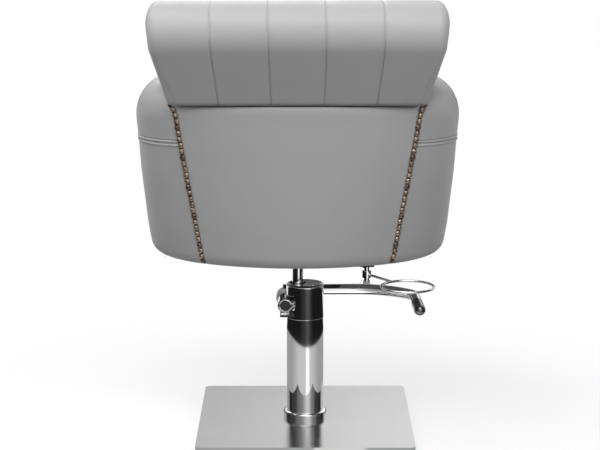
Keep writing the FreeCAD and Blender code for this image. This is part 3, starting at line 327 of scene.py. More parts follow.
@dataclass(frozen=True)
class Thread(Finish):
    """Twisted sewing thread in the cover's colour."""

    name: str = "grey_thread"
    colour: Colour = tone(160)

    def paint(self, sheet: NodeSheet) -> dict:
        """A slanting twist."""
        twist = sheet.shade("TexWave", {"Vector": sheet.stretched((1.0, 1.0, 1.6)), "Scale": 900,
                                        "Distortion": 0.6}, bands_direction="DIAGONAL")
        return {
            "Base Color": sheet.blend(twist, *self.shades(0.8)),
            "Roughness": 0.62,
            "Normal": sheet.bump(twist, 0.00012),
        }


@dataclass(frozen=True)
class Chrome(Finish):
    """Polished plating with the faintest uneven polish."""

    name: str = "chrome"
    colour: Colour = tone(226)
    roughness: float = 0.035

    def paint(self, sheet: NodeSheet) -> dict:
        """Soft smears in the polish and a slight waviness."""
        smear = sheet.cloud(40, 4.0, 0.55)
        return {
            "Base Color": sheet.blend(smear, *self.shades(0.96)),
            "Metallic": 1.0,
            "Roughness": self.roughness + smear * 0.03,
            "Normal": sheet.bump(sheet.cloud(26, 1.0), 0.00003),
        }


@dataclass(frozen=True)
class BrushedSteel(Finish):
    """Stainless sheet that was brushed from side to side."""

    name: str = "brushed_steel"
    colour: Colour = tone(190)
    roughness: float = 0.13
    fine: Colour = (9.0, 2600.0, 2600.0)
    coarse: Colour = (3.0, 420.0, 420.0)

    def paint(self, sheet: NodeSheet) -> dict:
        """Long fine scratches along X, some of them stronger."""
        marks = sheet.streaks(self.fine, 3.0, 0.6) * 0.6 + sheet.streaks(self.coarse, 2.0) * 0.4
        return {
            "Base Color": sheet.blend(marks * 0.8 + sheet.cloud(5, 2.0) * 0.2, *self.shades(0.86, 1.08)),
            "Metallic": 1.0,
            "Roughness": self.roughness + marks * 0.08,
            "Normal": sheet.bump(marks, 0.00007),
        }


@dataclass(frozen=True)
class PlainMetal(Finish):
    """Bare or plated metal with turned or rolled marks."""

    name: str = "steel"
    colour: Colour = tone(150)
    roughness: float = 0.36

    def paint(self, sheet: NodeSheet) -> dict:
        """Fine level marks and some cloudy oxide."""
        turned, cloudy = sheet.streaks((40.0, 40.0, 1500.0), 2.0), sheet.cloud(55, 4.0, 0.6)
        return {
            "Base Color": sheet.blend(cloudy * 0.7 + turned * 0.3, *self.shades(0.72)),
            "Metallic": 1.0,
            "Roughness": self.roughness + cloudy * 0.14,
            "Normal": sheet.bump(turned, 0.00005),
        }


@dataclass(frozen=True)
class AntiqueBrass(Finish):
    """Stamped brass with dark patina in its low places and bright rubbed tops."""

    name: str = "antique_brass"
    colour: Colour = hue(214, 192, 166)
    dark: Colour = hue(64, 46, 38)

    def paint(self, sheet: NodeSheet) -> dict:
        """Hammered spots, with patina between them."""
        dents = sheet.shade("TexVoronoi", {"Vector": sheet.place(), "Scale": 420, "Smoothness": 0.6},
                            feature="SMOOTH_F1")
        patina = sheet.cloud(240, 5.0, 0.65)
        rubbed = sheet.ramp(patina * 0.75 + dents * 0.35, [(0.42, 0.0), (0.68, 1.0)])
        return {
            "Base Color": sheet.blend(rubbed, self.dark, self.colour),
            "Metallic": 0.45 + rubbed * 0.5,
            "Roughness": 0.42 - rubbed * 0.16,
            "Normal": sheet.bump(dents * 0.7 + patina * 0.3, 0.0007),
        }


@dataclass(frozen=True)
class Moulded(Finish):
    """Rubber or plastic with a fine moulded texture."""

    name: str = "rubber"
    colour: Colour = tone(34)
    roughness: float = 0.72
    grain: float = 900.0
    depth: float = 0.00008
    clear: float = 0.0

    def paint(self, sheet: NodeSheet) -> dict:
        """A pebbled skin and a little dust in the tone."""
        dust = sheet.cloud(30, 4.0, 0.6)
        return {
            "Base Color": sheet.blend(dust, *self.shades(0.85, 1.15)),
            "Roughness": self.roughness + dust * 0.08,
            "Normal": sheet.bump(sheet.cloud(self.grain, 2.0), self.depth),
            "Transmission Weight": self.clear,
        }


@dataclass(frozen=True)
class Timber(Finish):
    """Planed softwood or plywood inside the tub."""

    name: str = "wood"
    colour: Colour = hue(205, 172, 128)
    dark: Colour = hue(150, 108, 70)

    def paint(self, sheet: NodeSheet) -> dict:
        """Growth rings drawn out along the board, with pores."""
        rings = sheet.shade("TexWave", {"Vector": sheet.stretched((1.0, 0.06, 1.0)), "Scale": 34,
                                        "Distortion": 5.0, "Detail": 3.0},
                            wave_type="RINGS", rings_direction="Y")
        pores = sheet.streaks((700.0, 40.0, 700.0), 3.0)
        return {
            "Base Color": sheet.blend(rings * 0.6 + pores * 0.4, self.colour, self.dark),
            "Roughness": 0.66 + pores * 0.1,
            "Normal": sheet.bump(pores, 0.00015),
        }


@dataclass(frozen=True)
class Woven(Finish):
    """Plain woven or felted cloth."""

    name: str = "dust_cloth"
    colour: Colour = tone(156)
    threads: float = 800.0
    depth: float = 0.0002

    def paint(self, sheet: NodeSheet) -> dict:
        """Over and under threads from two crossed waves."""
        warp, weft = (sheet.shade("TexWave", {"Vector": sheet.place(), "Scale": self.threads / 6,
                                              "Distortion": 0.4}, bands_direction=way) for way in "XY")
        weave, fuzz = warp * weft, sheet.cloud(120, 4.0, 0.6)
        return {
            "Base Color": sheet.blend(weave * 0.6 + fuzz * 0.4, *self.shades(0.6, 1.3)),
            "Roughness": 0.9 - weave * 0.08,
            "Normal": sheet.bump(weave, self.depth),
        }


class Slot(Enum):
    """The record's material slots, each with its finish."""

    LEATHERETTE = ("leatherette", Leatherette())
    CHROME = ("chrome", Chrome())
    BRUSHED_STEEL = ("brushed_steel", BrushedSteel())
    STEEL = ("steel", PlainMetal())
    BLACK_STEEL = ("black_steel", PlainMetal("black_steel", tone(52), 0.42))
    BRONZE = ("bronze", PlainMetal("bronze", hue(178, 132, 84), 0.34))
    ANTIQUE_BRASS = ("antique_brass", AntiqueBrass())
    RUBBER = ("rubber", Moulded())
    PEDAL_CAP = ("pedal_cap", Chrome("pedal_cap", tone(128), 0.20))
    CLEAR_KNOB = ("clear_knob", Moulded("clear_knob", tone(214), 0.2, 300.0, 0.00003, 0.55))
    WOOD = ("wood", Timber())
    WEBBING = ("webbing", Woven("webbing", hue(176, 158, 120), 500.0, 0.0004))
    DUST_CLOTH = ("dust_cloth", Woven())

    @property
    def finish(self) -> Finish:
        """The slot's finish."""
        return self.value[1]

    @classmethod
    def of_node(cls, node: str) -> "Slot":
        """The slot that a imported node's own material names."""
        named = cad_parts[node].data.materials[0].name
        return next(slot for slot in cls if slot.value[0] == named)


class Skin:
    """Corners and faces of one piece while it is being made."""

    def __init__(self) -> None:
        """Starts with nothing."""
        self.corners: list[Vector] = []
        self.faces: list[tuple[int, ...]] = []

    def row(self, points: Iterable[Vector]) -> list[int]:
        """Adds a row of corners and gives their numbers."""
        start = len(self.corners)
        self.corners += [Vector(p) for p in points]
        return list(range(start, len(self.corners)))

    def weave(self, rows: Sequence[Sequence[int]], closed: bool = False) -> None:
        """Joins neighbouring rows with four-sided faces.

        Args:
            rows: rows of corner numbers, all of one length.
            closed: True where each row is a ring.
        """
        for a, b in zip(rows, rows[1:]):
            last = len(a) if closed else len(a) - 1
            for k in range(last):
                n = (k + 1) % len(a)
                self.faces.append((a[k], a[n], b[n], b[k]))

    def plate(self, rows: Iterable, columns: Sequence, spots: Callable) -> "Skin":
        """Adds a closed plate over a grid.

        Args:
            rows: the values that the grid's rows stand for.
            columns: the values that its columns stand for.
            spots: gives the outer and the inner point at a row's and a column's value.

        Returns:
            This skin.
        """
        grid = [[spots(row, column) for column in columns] for row in rows]
        front = [self.row(outer for outer, _ in row) for row in grid]
        back = [self.row(inner for _, inner in row) for row in grid]
        self.weave(front)
        self.weave(back)
        for k in (0, -1):
            self.weave([front[k], back[k]])
        for k in (0, -1):
            self.weave([[row[k] for row in face] for face in (front, back)])
        return self

    def barrel(self, rings: Iterable[Iterable[Vector]], looped: bool = False) -> "Skin":
        """Adds a closed body from rings of points.

        Args:
            rings: the rings, all of one length.
            looped: True where the last ring joins the first, else both get a flat face.

        Returns:
            This skin.
        """
        rows = [self.row(ring) for ring in rings]
        self.weave(rows + rows[:1] if looped else rows, True)
        if not looped:
            self.faces += [tuple(rows[0]), tuple(rows[-1])]
        return self

    def tube(self, path: Sequence[Vector], radius: float, sides: int = 8, closed: bool = False) -> None:
        """Adds a round cord along a path.

        Args:
            path: the points that it follows.
            radius: its radius.
            sides: how many sides it has.
            closed: True where the path is a loop.
        """
        count = len(path)
        rings = []
        across = None
        for k, point in enumerate(path):
            ahead = path[(k + 1) % count] if closed or k < count - 1 else point
            behind = path[k - 1] if closed or k > 0 else point
            way = (ahead - behind).normalized()
            if across is None:
                across = way.orthogonal().normalized()
            across = (across - way * across.dot(way)).normalized()
            other = way.cross(across)
            rings.append([point + (across * math.cos(a) + other * math.sin(a)) * radius
                          for a in around(sides)])
        self.barrel(rings, closed)

    def piece(self, name: str, nodes: Sequence[str] = (), slot: Slot = Slot.LEATHERETTE, body: str = "seat",
              shift: float = SEAT_X, mirror: bool = False, finish: Finish | None = None,
              fill: float | None = None) -> bpy.types.Object:
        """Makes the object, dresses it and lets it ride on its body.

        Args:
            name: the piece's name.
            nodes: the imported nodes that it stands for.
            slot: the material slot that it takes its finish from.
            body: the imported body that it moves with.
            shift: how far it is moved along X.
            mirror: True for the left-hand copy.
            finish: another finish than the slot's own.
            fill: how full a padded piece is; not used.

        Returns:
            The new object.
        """
        side = -1.0 if mirror else 1.0
        mesh = bpy.data.meshes.new(name)
        mesh.from_pydata([(side * c.x + shift, c.y, c.z) for c in self.corners], [], self.faces)
        form = bmesh.new()
        form.from_mesh(mesh)
        bmesh.ops.remove_doubles(form, verts=form.verts, dist=1e-6)
        bmesh.ops.recalc_face_normals(form, faces=form.faces)
        form.to_mesh(mesh)
        form.free()
        mesh.polygons.foreach_set("use_smooth", [True] * len(mesh.polygons))
        mesh.materials.append((finish or slot.finish).material())
        made = placed(name, mesh)
        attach(made, body)
        if nodes:
            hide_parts(*nodes)
        log.info("%s: %d faces on %s", name, len(mesh.polygons), body)
        return made

    def pair(self, name: str, node: str = "", **options: object) -> None:
        """Makes the piece for the right and for the left, with names that end in the side."""
        for mirror, side in SIDES:
            self.piece(f"{name}_{side}", [f"{node}_{side}"] if node else (), mirror=mirror, **options)


def dress(*nodes: str) -> None:
    """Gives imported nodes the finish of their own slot."""
    for node in nodes:
        slot = Slot.of_node(node)
        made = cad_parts[node]
        made.data.materials[0] = slot.finish.material()
        log.info("%s: %s", node, slot.value[0])


def facing(angle: float) -> Vector:
    """The level way out at an angle from straight back."""
    return Vector((math.sin(angle), -math.cos(angle), 0))


@dataclass
class Level:
    """The tub's outline at one height: a shallow back arc, two round corners and straight sides."""

    z: float
    bottom: float = 0.386
    seam: float = 0.646
    top: float = 0.716
    halves: Pair = (0.304, 0.3235)
    nails: Colour = (0.189, 0.230, 0.240)
    backs: Pair = (-0.250, -0.291)
    sags: Pair = (0.046, 0.017)
    panel_gap: float = 0.0013

    def __post_init__(self) -> None:
        """Works out the back arc, the half width, the round corner and where the side panel starts."""
        share = (self.z - self.bottom) / (self.top - self.bottom)
        low, middle, high = self.nails
        nail = between(low, middle, (self.z - self.bottom) / (self.seam - self.bottom))
        if self.z >= self.seam:
            nail = between(middle, high, (self.z - self.seam) / (self.top - self.seam))
        sag, back = between(*self.sags, share), between(*self.backs, share)
        self.back_radius = (nail**2 + sag**2) / (2 * sag)
        self.back_centre = Vector((0, back + self.back_radius, self.z))
        self.turn = math.asin(nail / self.back_radius)
        self.half = between(*self.halves, share)
        radius = self.corner_radius = (self.half - nail) / (1 - math.sin(self.turn))
        self.corner_centre = Vector((self.half - radius, back + sag + radius * math.cos(self.turn), self.z))
        self.panel_turn = self.turn + self.panel_gap / radius

    def on_back(self, angle: float, inset: float = 0.0) -> Vector:
        """A point of the back arc, by its angle from straight back."""
        return self.back_centre + facing(angle) * (self.back_radius - inset)

    def on_corner(self, angle: float, inset: float = 0.0) -> Vector:
        """A point of the round corner, by its angle from straight back."""
        return self.corner_centre + facing(angle) * (self.corner_radius - inset)

    def along(self, reach: float, front: float, inset: float = 0.0) -> Vector:
        """A point of the corner and side.

        Args:
            reach: the share of the way from the nail line to the front end.
            front: where the side ends.
            inset: how far the point is drawn in.

        Returns:
            The point.
        """
        radius, centre, start = self.corner_radius, self.corner_centre, self.panel_turn
        bend = radius * (QUARTER - start)
        walked = reach * (bend + front - centre.y)
        if walked < bend:
            return self.on_corner(start + walked / radius, inset)
        return Vector((self.half - inset, centre.y + walked - bend, self.z))

    def length(self, front: float) -> float:
        """The length of the corner and side from the nail line to the front end."""
        return self.corner_radius * (QUARTER - self.turn) + front - self.corner_centre.y


@dataclass(frozen=True)
class Padding:
    """How a padded face stands out: its crown, how far in that fades, and how its edge rolls down."""

    crown: float
    fade: float
    reach: float
    depth: float

    def lift(self, to_edge: float) -> float:
        """How far the face stands out at a distance from its edge."""
        return self.crown * eased(to_edge / self.fade) - rolled(to_edge, self.reach, self.depth)


@dataclass
class TubShell:
    """The tub's outer cover: the back panel and two side panels that wrap the corners."""

    thickness: float = 0.006
    front: float = 0.226
    gap: float = 0.0026
    pillow: float = 0.0022
    back_fade: Pair = (0.07, 0.09)
    back_waves: Pair = (0.085, 0.0005)
    side_fade: Pair = (0.05, 0.08)
    side_waves: Pair = (0.08, 0.0005)
    front_roll: Pair = (0.004, 0.002)
    ridge_start: Pair = (0.630, 0.6305)
    hem_height: float = 0.024
    hem_inset: float = 0.015
    top_roll: float = 0.020
    top_depth: float = 0.0065
    top_return: float = 0.020
    return_height: float = 0.010
    edge_roll: float = 0.008
    edge_depth: float = 0.0035
    ridges: Pair = (0.0022, 0.0098)
    ridge_height: float = 0.0015
    ridge_width: float = 0.0017
    crease_place: float = 0.0030
    crease_width: float = 0.0012
    stitch: float = 0.0045
    thread: float = 0.00045

    def hem(self, z: float) -> float:
        """How far the cover is drawn in near its foot."""
        return rolled(z - Level.bottom, self.hem_height, self.hem_inset)

    def back_panel(self) -> None:
        """The outer back: softly padded, rounded over at its top and drawn under at its foot."""

        def spots(share: float, across: float) -> Spots:
            """The outer and inner point at shares of the way up and across."""
            z = between(Level.bottom, Level.top, share)
            level = Level(z)
            end = level.turn - self.gap / 2 / level.back_radius
            angle = between(-end, end, across)
            to_side = (1 - abs(2 * across - 1)) * end * level.back_radius
            up = Level.top - z
            aside, upward = self.back_fade
            fill = eased(to_side / aside) * eased(up / upward) * eased((z - Level.bottom) / upward)
            lift = self.pillow * fill + ripple(level.on_back(angle), *self.back_waves) * fill
            lift -= rolled(to_side, self.edge_roll, self.edge_depth)
            lift -= rolled(up, self.top_roll, self.top_depth)
            deep = self.thickness + self.top_return * (up < self.return_height)
            return level.on_back(angle, self.hem(z) - lift), level.on_back(angle, self.hem(z) + deep)

        skin = Skin().plate(bunched(96), bunched(96), spots)
        skin.piece("outer_back_cover", ["outer_back_panel"], fill=0.35)

    def side_lift(self, level: Level, reach: float) -> float:
        """How far a side panel stands out or in at a point.

        Args:
            level: the outline at the point's height.
            reach: the share of the way round to the front.

        Returns:
            The distance outward.
        """
        up, length = Level.seam - level.z, level.length(self.front)
        from_nail, to_front = reach * length, (1 - reach) * length
        aside, upward = self.side_fade
        fill = eased(from_nail / aside) * eased(up / upward) * eased((level.z - Level.bottom) / upward)
        point = level.along(reach, self.front)
        lift = self.pillow * fill * eased(to_front / aside) + ripple(point, *self.side_waves) * fill
        lift -= rolled(from_nail, self.edge_roll, self.edge_depth)
        lift -= rolled(to_front, *self.front_roll)
        for ridge in self.ridges:
            lift += self.ridge_height * math.exp(-(((up - ridge) / self.ridge_width) ** 2))
            crease = (up - ridge + self.crease_place) / self.crease_width
            lift -= self.ridge_height * 0.6 * math.exp(-(crease**2))
        return lift

    def side_panels(self) -> None:
        """Both outer sides, with a row of stitches along the ridge below the arm's seam."""

        def spots(z: float, reach: float) -> Spots:
            """The outer and inner point at a height and a share of the way round."""
            level, drawn = Level(z), self.hem(z)
            return (level.along(reach, self.front, drawn - self.side_lift(level, reach)),
                    level.along(reach, self.front, drawn + self.thickness))

        smooth_end, ridged = self.ridge_start
        heights = [between(Level.bottom, smooth_end, s) for s in bunched(48)]
        heights += [between(ridged, Level.seam, s) for s in evenly(42)]
        skin = Skin().plate(heights, bunched(110), spots)
        skin.pair("outer_side_cover", "outer_side_panel", fill=0.35)
        self.stitches(Level(Level.seam - self.ridges[1]))

    def stitches(self, level: Level) -> None:
        """A row of single stitches round both sides at one height."""
        skin = Skin()
        count = int(level.length(self.front) / self.stitch)
        for k in range(1, count - 1):
            start, end = (level.along((k + s) / count, self.front, -self.ridge_height) for s in (0.12, 0.88))
            middle = (start + end) / 2
            out = level.along((k + 0.5) / count, self.front, -self.ridge_height - 0.0005) - middle
            skin.tube([start - out * 0.6, between(start, end, 0.15), middle + out * 0.5,
                       between(start, end, 0.85), end - out * 0.6], self.thread, 6)
        skin.pair("side_stitches", finish=Thread())

    def build(self) -> None:
        """Makes every piece of the shell."""
        self.back_panel()
        self.side_panels()


@dataclass(frozen=True)
class ArmCut:
    """One cut across the right arm, upright on the straight arm and leaning at its nailed end."""

    inner: Vector
    low: Vector
    high: Vector
    crest: float
    shoulder: float
    lean: float
    rise: float = 0.070
    inner_drop: float = 0.037
    foot_roll: float = 0.004

    def at(self, share: float, z: float) -> Vector:
        """A point at a height, by its share of the way from the inner face to the outer one."""
        up = z - Level.seam
        outer_lean = (self.high - self.low) / self.rise
        inner_lean = between(Vector((0, 0, 1)), outer_lean, self.lean)
        return between(self.inner + inner_lean * up, self.low + outer_lean * up, share)

    def ring(self) -> list[Vector]:
        """The padded cut, from the outer foot over the top to the inner foot and back underneath."""
        foot, inside = Level.seam + 0.0003, self.crest - self.inner_drop
        points = []
        for z in (between(foot, foot + self.foot_roll, s) for s in evenly(5)):
            points.append(self.at(1 - rolled(z - foot, self.foot_roll, 0.0018) / 0.1, z))
        points += [self.at(1, between(foot + self.foot_roll, self.shoulder, s)) for s in evenly(12)[1:]]
        for angle in (QUARTER * k / 18 for k in range(1, 19)):
            points.append(self.at(0.4 + 0.6 * math.cos(angle),
                                  self.shoulder + (self.crest - self.shoulder) * math.sin(angle)))
        points.append(self.at(0.34, self.crest + 0.0004))
        for angle in (QUARTER * (1 - k / 12) for k in range(13)):
            points.append(self.at(0.28 * (1 - math.cos(angle)), inside + self.inner_drop * math.sin(angle)))
        points += [self.at(0, between(inside, foot, s)) for s in evenly(8)[1:]]
        return points + [self.at(s, foot) for s in evenly(7)[1:-1]]


@dataclass
class Arms:
    """Both arms: the round-topped pads, the lining inside them and the facings in front."""

    inner_half: float = 0.222
    front: float = 0.226
    rear_end: Pair = (0.224, -0.2142)
    lining_deep: float = 0.0154
    lining_rear: float = -0.198
    wall: float = 0.0075
    board_top: float = 0.407
    facing: float = 0.012
    facing_gap: float = 0.0003
    facing_ends: Pair = (0.3895, 0.7315)
    crests: Colour = (0.732, 0.760, 0.722)
    shoulders: Colour = (0.660, 0.676, 0.694)
    facing_padding: Padding = Padding(0.003, 0.03, 0.006, 0.005)
    pad_waves: Pair = (0.06, 0.0006)
    lining_crown: float = 0.0018
    lining_fade: float = 0.06
    lining_waves: Pair = (0.07, 0.0006)
    lining_roll: Pair = (0.006, 0.004)
    seam_roll: Pair = (0.004, 0.003)
    welt: float = 0.0024

    def cut(self, walk: float) -> ArmCut:
        """The arm's cut at a place.

        Args:
            walk: 0 at the front, 1 where the corner starts and 2 at the nail strip.

        Returns:
            The cut.
        """
        levels = Level(Level.seam), Level(Level.top)
        start = levels[0].corner_centre.y
        if walk <= 1:
            y = between(self.front, start, walk)
            points = [Vector((level.half, y, level.z)) for level in levels]
            return ArmCut(Vector((self.inner_half, y, Level.seam)), *points,
                          between(*self.crests[:2], eased(walk * 0.9 + 0.05)),
                          between(*self.shoulders[:2], walk), 0.0)
        share = walk - 1
        points = [level.on_corner(between(QUARTER, level.panel_turn, share)) for level in levels]
        inner = Vector((between(self.inner_half, self.rear_end[0], share**2),
                        between(start, self.rear_end[1], share), Level.seam))
        return ArmCut(inner, *points, between(*self.crests[1:], share**2),
                      between(*self.shoulders[1:], share), share)

    def pads(self) -> None:
        """The padded arm tops, drawn in a little at the nailed end."""
        rings = []
        for walk in evenly(34) + [1 + s for s in evenly(40)[1:]]:
            ring = self.cut(walk).ring()
            centre = sum(ring, Vector()) / len(ring)
            tight = 1 - 0.05 * rolled((2 - walk) * 0.1, 0.010, 1.0)
            out = [centre + (p - centre) * tight for p in ring]
            rings.append([p + (p - centre).normalized() * ripple(p, *self.pad_waves) for p in out])
        Skin().barrel(rings).pair("arm_top", "arm_pad", fill=0.75)

    def linings(self) -> None:
        """The padded inner sides between the arm tops and the seat board."""

        def spots(z: float, back: float) -> Spots:
            """The outer and inner point at a height and a share of the way back."""
            level = Level(z)
            centre, radius = level.corner_centre, level.corner_radius - self.wall
            aside = self.inner_half + self.lining_deep - centre.x
            rear = max(self.lining_rear, centre.y - math.sqrt(radius**2 - aside**2))
            y = between(self.front - 0.001, rear, back)
            to_edge = min(self.front - y, y - rear, z - self.board_top)
            to_seam = Level.seam - z
            fill = eased(to_edge / self.lining_fade) * eased(to_seam / self.lining_fade)
            lift = self.lining_crown * fill + ripple(Vector((0.2, y, z)), *self.lining_waves) * fill
            lift -= rolled(to_edge, *self.lining_roll) + rolled(to_seam, *self.seam_roll)
            return Vector((self.inner_half - lift, y, z)), Vector((self.inner_half + self.lining_deep, y, z))

        heights = [between(self.board_top, Level.seam - 0.0005, s) for s in bunched(30)]
        Skin().plate(heights, bunched(40), spots).pair("arm_lining", "arm_pad", fill=0.5)

    def facing_span(self, z: float) -> Pair:
        """The facing's inner and outer edge at a height."""
        crest, shoulder, inside = self.crests[0], self.shoulders[0], self.crests[0] - ArmCut.inner_drop
        wide = Level(min(z, Level.top)).half - TubShell().hem(z) - self.inner_half
        wide += max(0.0, z - Level.top) * 0.06
        outer, inner = 1.0, 0.0
        if z > shoulder:
            share = min(1.0, (z - shoulder) / (crest - shoulder))
            outer = 0.4 + 0.6 * math.sqrt(max(0.0, 1 - share**2))
        if z > inside:
            share = min(1.0, (z - inside) / (crest - inside))
            inner = 0.28 * (1 - math.sqrt(max(0.0, 1 - share**2)))
        return self.inner_half + wide * inner, self.inner_half + wide * outer

    def facings(self) -> None:
        """The padded front boards of the arms, with a welt round their edge."""
        bottom, crest = self.facing_ends
        behind = self.front + self.facing_gap

        def spots(z: float, across: float) -> Spots:
            """The outer and inner point at a height and a share of the way across."""
            low, high = self.facing_span(z)
            x = between(low, high, across)
            to_edge = min(x - low, high - x, z - bottom, crest - z)
            front = behind + self.facing + self.facing_padding.lift(to_edge)
            return Vector((x, front, z)), Vector((x, behind, z))

        heights = [between(bottom, crest, s) for s in bunched(60)]
        board, welt = Skin().plate(heights, bunched(28), spots), Skin()
        left, right = ([Vector((self.facing_span(z)[k], self.front + 0.003, z)) for z in heights]
                       for k in (0, 1))
        loop = left + right[::-1]
        centre = sum(loop, Vector()) / len(loop)
        welt.tube([p + (p - centre).normalized() * 0.001 + Vector((0, 0.002, 0)) for p in loop],
                  self.welt, 10, True)
        for mirror, side in SIDES:
            board.piece(f"arm_front_{side}", [f"arm_facing_{side}"], mirror=mirror, fill=0.5)
            welt.piece(f"arm_welt_{side}", mirror=mirror)

    def build(self) -> None:
        """Makes every piece of both arms."""
        self.pads()
        self.linings()
        self.facings()


@dataclass(frozen=True)
class PadCut:
    """One cut across the back pad: where its face is, which way it looks, its half width and depth."""

    point: Vector
    way: Vector
    half: float
    depth: float
    tuck: float = 0.0

    def spot(self, x: float, low: float) -> Vector:
        """A point of the cut, by its place across and its depth below the face."""
        return self.point + Vector((1, 0, 0)) * x - self.way * low


@dataclass
class BackPad:
    """The channelled pad from the seat up the back, over the head board and in under the roll."""

    foot: Pair = (-0.160, 0.446)
    centre: Pair = (-0.302, 0.858)
    end: Pair = (-0.291, 0.7175)
    radius: float = 0.064
    pitch: float = 0.110
    follow: float = 0.6
    crowns: Pair = (0.0045, 0.0009)
    groove: float = 0.0022
    groove_width: float = 0.0012
    ridge: float = 0.0006
    ridge_place: float = 0.0040
    ridge_width: float = 0.0011
    side_seam: float = 0.0075
    side_groove: float = 0.0011
    side_groove_width: float = 0.0013
    bulge: float = 0.007
    inner_inset: float = 0.006
    halves: tuple[float, ...] = (0.268, 0.2735, 0.279, 0.275)
    foot_half: float = 0.2135
    end_half: float = 0.243
    depths: tuple[float, ...] = (0.029, 0.036, 0.040, 0.013)
    roll_start: int = 52
    tuck_half: float = 0.238
    tuck_thickness: float = 0.0012
    tuck_profile: Stops = (
        (-0.2885, 0.7192), (-0.2850, 0.7184), (-0.2780, 0.7180), (-0.2660, 0.7180), (-0.2520, 0.7190))

    def turns(self) -> Pair:
        """The angles on the roll where the straight back ends and the underside starts."""
        dy, dz = self.centre[0] - self.foot[0], self.centre[1] - self.foot[1]
        lean = math.atan2(-dy, dz) - math.asin(self.radius / math.hypot(dy, dz))
        ey, ez = self.centre[0] - self.end[0], self.centre[1] - self.end[1]
        under = math.atan2(-ey, ez) + math.asin(self.radius / math.hypot(ey, ez))
        return lean, math.pi + under

    def on_roll(self, angle: float) -> tuple[Vector, Vector]:
        """A point of the roll and the way that it looks, by the angle above the front."""
        way = Vector((0, math.cos(angle), math.sin(angle)))
        return Vector((0, *self.centre)) + way * self.radius, way

    def cuts(self) -> list[PadCut]:
        """The cuts from the pad's foot to its end under the roll."""
        first, last = self.turns()
        thin, full, rolled_deep, end_deep = self.depths
        made = []
        top, way = self.on_roll(first)
        foot = Vector((0, *self.foot))
        for share in [0.0, 0.004, 0.01, 0.02] + [between(0.03, 1, s) for s in evenly(66)]:
            flare = max(0.0, (share - 0.48) / 0.52)
            half = between(self.foot_half, self.halves[0], flare**1.25)
            depth = between(thin, full, eased(share / 0.2))
            made.append(PadCut(between(foot, top, share), way, half, depth,
                               rolled(share * 0.36, 0.02, 0.012)))
        for share in evenly(64)[1:]:
            step = share * (len(self.halves) - 1)
            low = min(int(step), len(self.halves) - 2)
            half = between(self.halves[low], self.halves[low + 1], eased(step - low))
            point, way = self.on_roll(between(first, last, share))
            made.append(PadCut(point, way, half, between(full, rolled_deep, min(1.0, 2 * share))))
        bottom, way = self.on_roll(last)
        end = Vector((0, *self.end))
        run = (end - bottom).length
        for share in evenly(34)[1:]:
            drop = rolled((1 - share) * run, 0.012, 0.0045)
            half = between(self.halves[-1], self.end_half, share)
            made.append(PadCut(between(bottom, end, share), way, half,
                               between(rolled_deep, end_deep, share), drop))
        return made

    def seams(self, half: float) -> list[float]:
        """Where the four seams lie across a cut."""
        pitch = self.pitch * (1 + (half / max(self.halves) - 1) * self.follow)
        return [pitch * (k - 1.5) for k in range(4)]

    def drop(self, x: float, cut: PadCut, along: float) -> float:
        """How far the face lies below the crowns.

        Args:
            x: the place across the cut.
            cut: the cut.
            along: how far the cut lies from the pad's foot, along the face.

        Returns:
            The depth below the crowns.
        """
        borders = [-cut.half] + self.seams(cut.half) + [cut.half]
        low = max(b for b in borders[:-1] if b <= x + 1e-9)
        high = min(b for b in borders[1:] if b >= x - 1e-9)
        middle, reach = (low + high) / 2, (high - low) / 2
        share = abs(x - middle) / max(reach, 1e-6)
        fall = between(*self.crowns, eased((along - 0.27) / 0.16)) * share**2.2
        to_seam = min(abs(x - s) for s in borders[1:-1])
        fall += self.groove * math.exp(-((to_seam / self.groove_width) ** 1.4))
        inward = min((abs(abs(s) - abs(x) - self.ridge_place) for s in borders[1:-1] if s * x > 0),
                     default=1.0)
        fall -= self.ridge * math.exp(-((inward / self.ridge_width) ** 2))
        to_side = cut.half - abs(x) - self.side_seam
        fall += self.side_groove * math.exp(-((to_side / self.side_groove_width) ** 2))
        pucker = noise.noise(Vector((x * 26, along * 48, 3.1)))
        fall += 0.0005 * pucker * math.exp(-to_seam / 0.02)
        return fall + cut.tuck

    def ring(self, cut: PadCut, along: float) -> list[Vector]:
        """The closed outline of one cut.

        Args:
            cut: the cut.
            along: how far it lies from the pad's foot.

        Returns:
            Its points, from the left edge of the face round to the back.
        """
        start = cut.half - min(0.017, cut.depth * 0.46) * 0.7
        borders = [-start] + self.seams(cut.half) + [start]
        spots = []
        for low, high in zip(borders, borders[1:]):
            spots += [between(low, high, s) for s in bunched(27)[:-1]]
        points = [cut.spot(x, self.drop(x, cut, along)) for x in spots + [start]]
        edge = self.drop(start, cut, along)
        side, inner = cut.half + self.bulge, cut.half - self.inner_inset
        right = []
        for angle in (QUARTER * k / 11 for k in range(1, 12)):
            right.append((start + (side - start) * math.sin(angle),
                          edge + (cut.depth * 0.52 - edge) * (1 - math.cos(angle))))
        for angle in (QUARTER * k / 6 for k in range(1, 7)):
            right.append((inner + (side - inner) * math.cos(angle),
                          cut.depth * (0.52 + 0.48 * math.sin(angle))))
        points += [cut.spot(x, low) for x, low in right]
        points += [cut.spot(between(inner, -inner, s), cut.depth) for s in evenly(9)[1:-1]]
        return points + [cut.spot(-x, low) for x, low in reversed(right)]

    def pad(self) -> None:
        """The pad itself."""
        rings, along, cuts = [], 0.0, self.cuts()
        for before, cut in zip(cuts[:1] + cuts, cuts):
            along += (cut.point - before.point).length
            rings.append(self.ring(cut, along))
        Skin().barrel(rings).piece("channelled_back", ["back_pad"], fill=0.8)

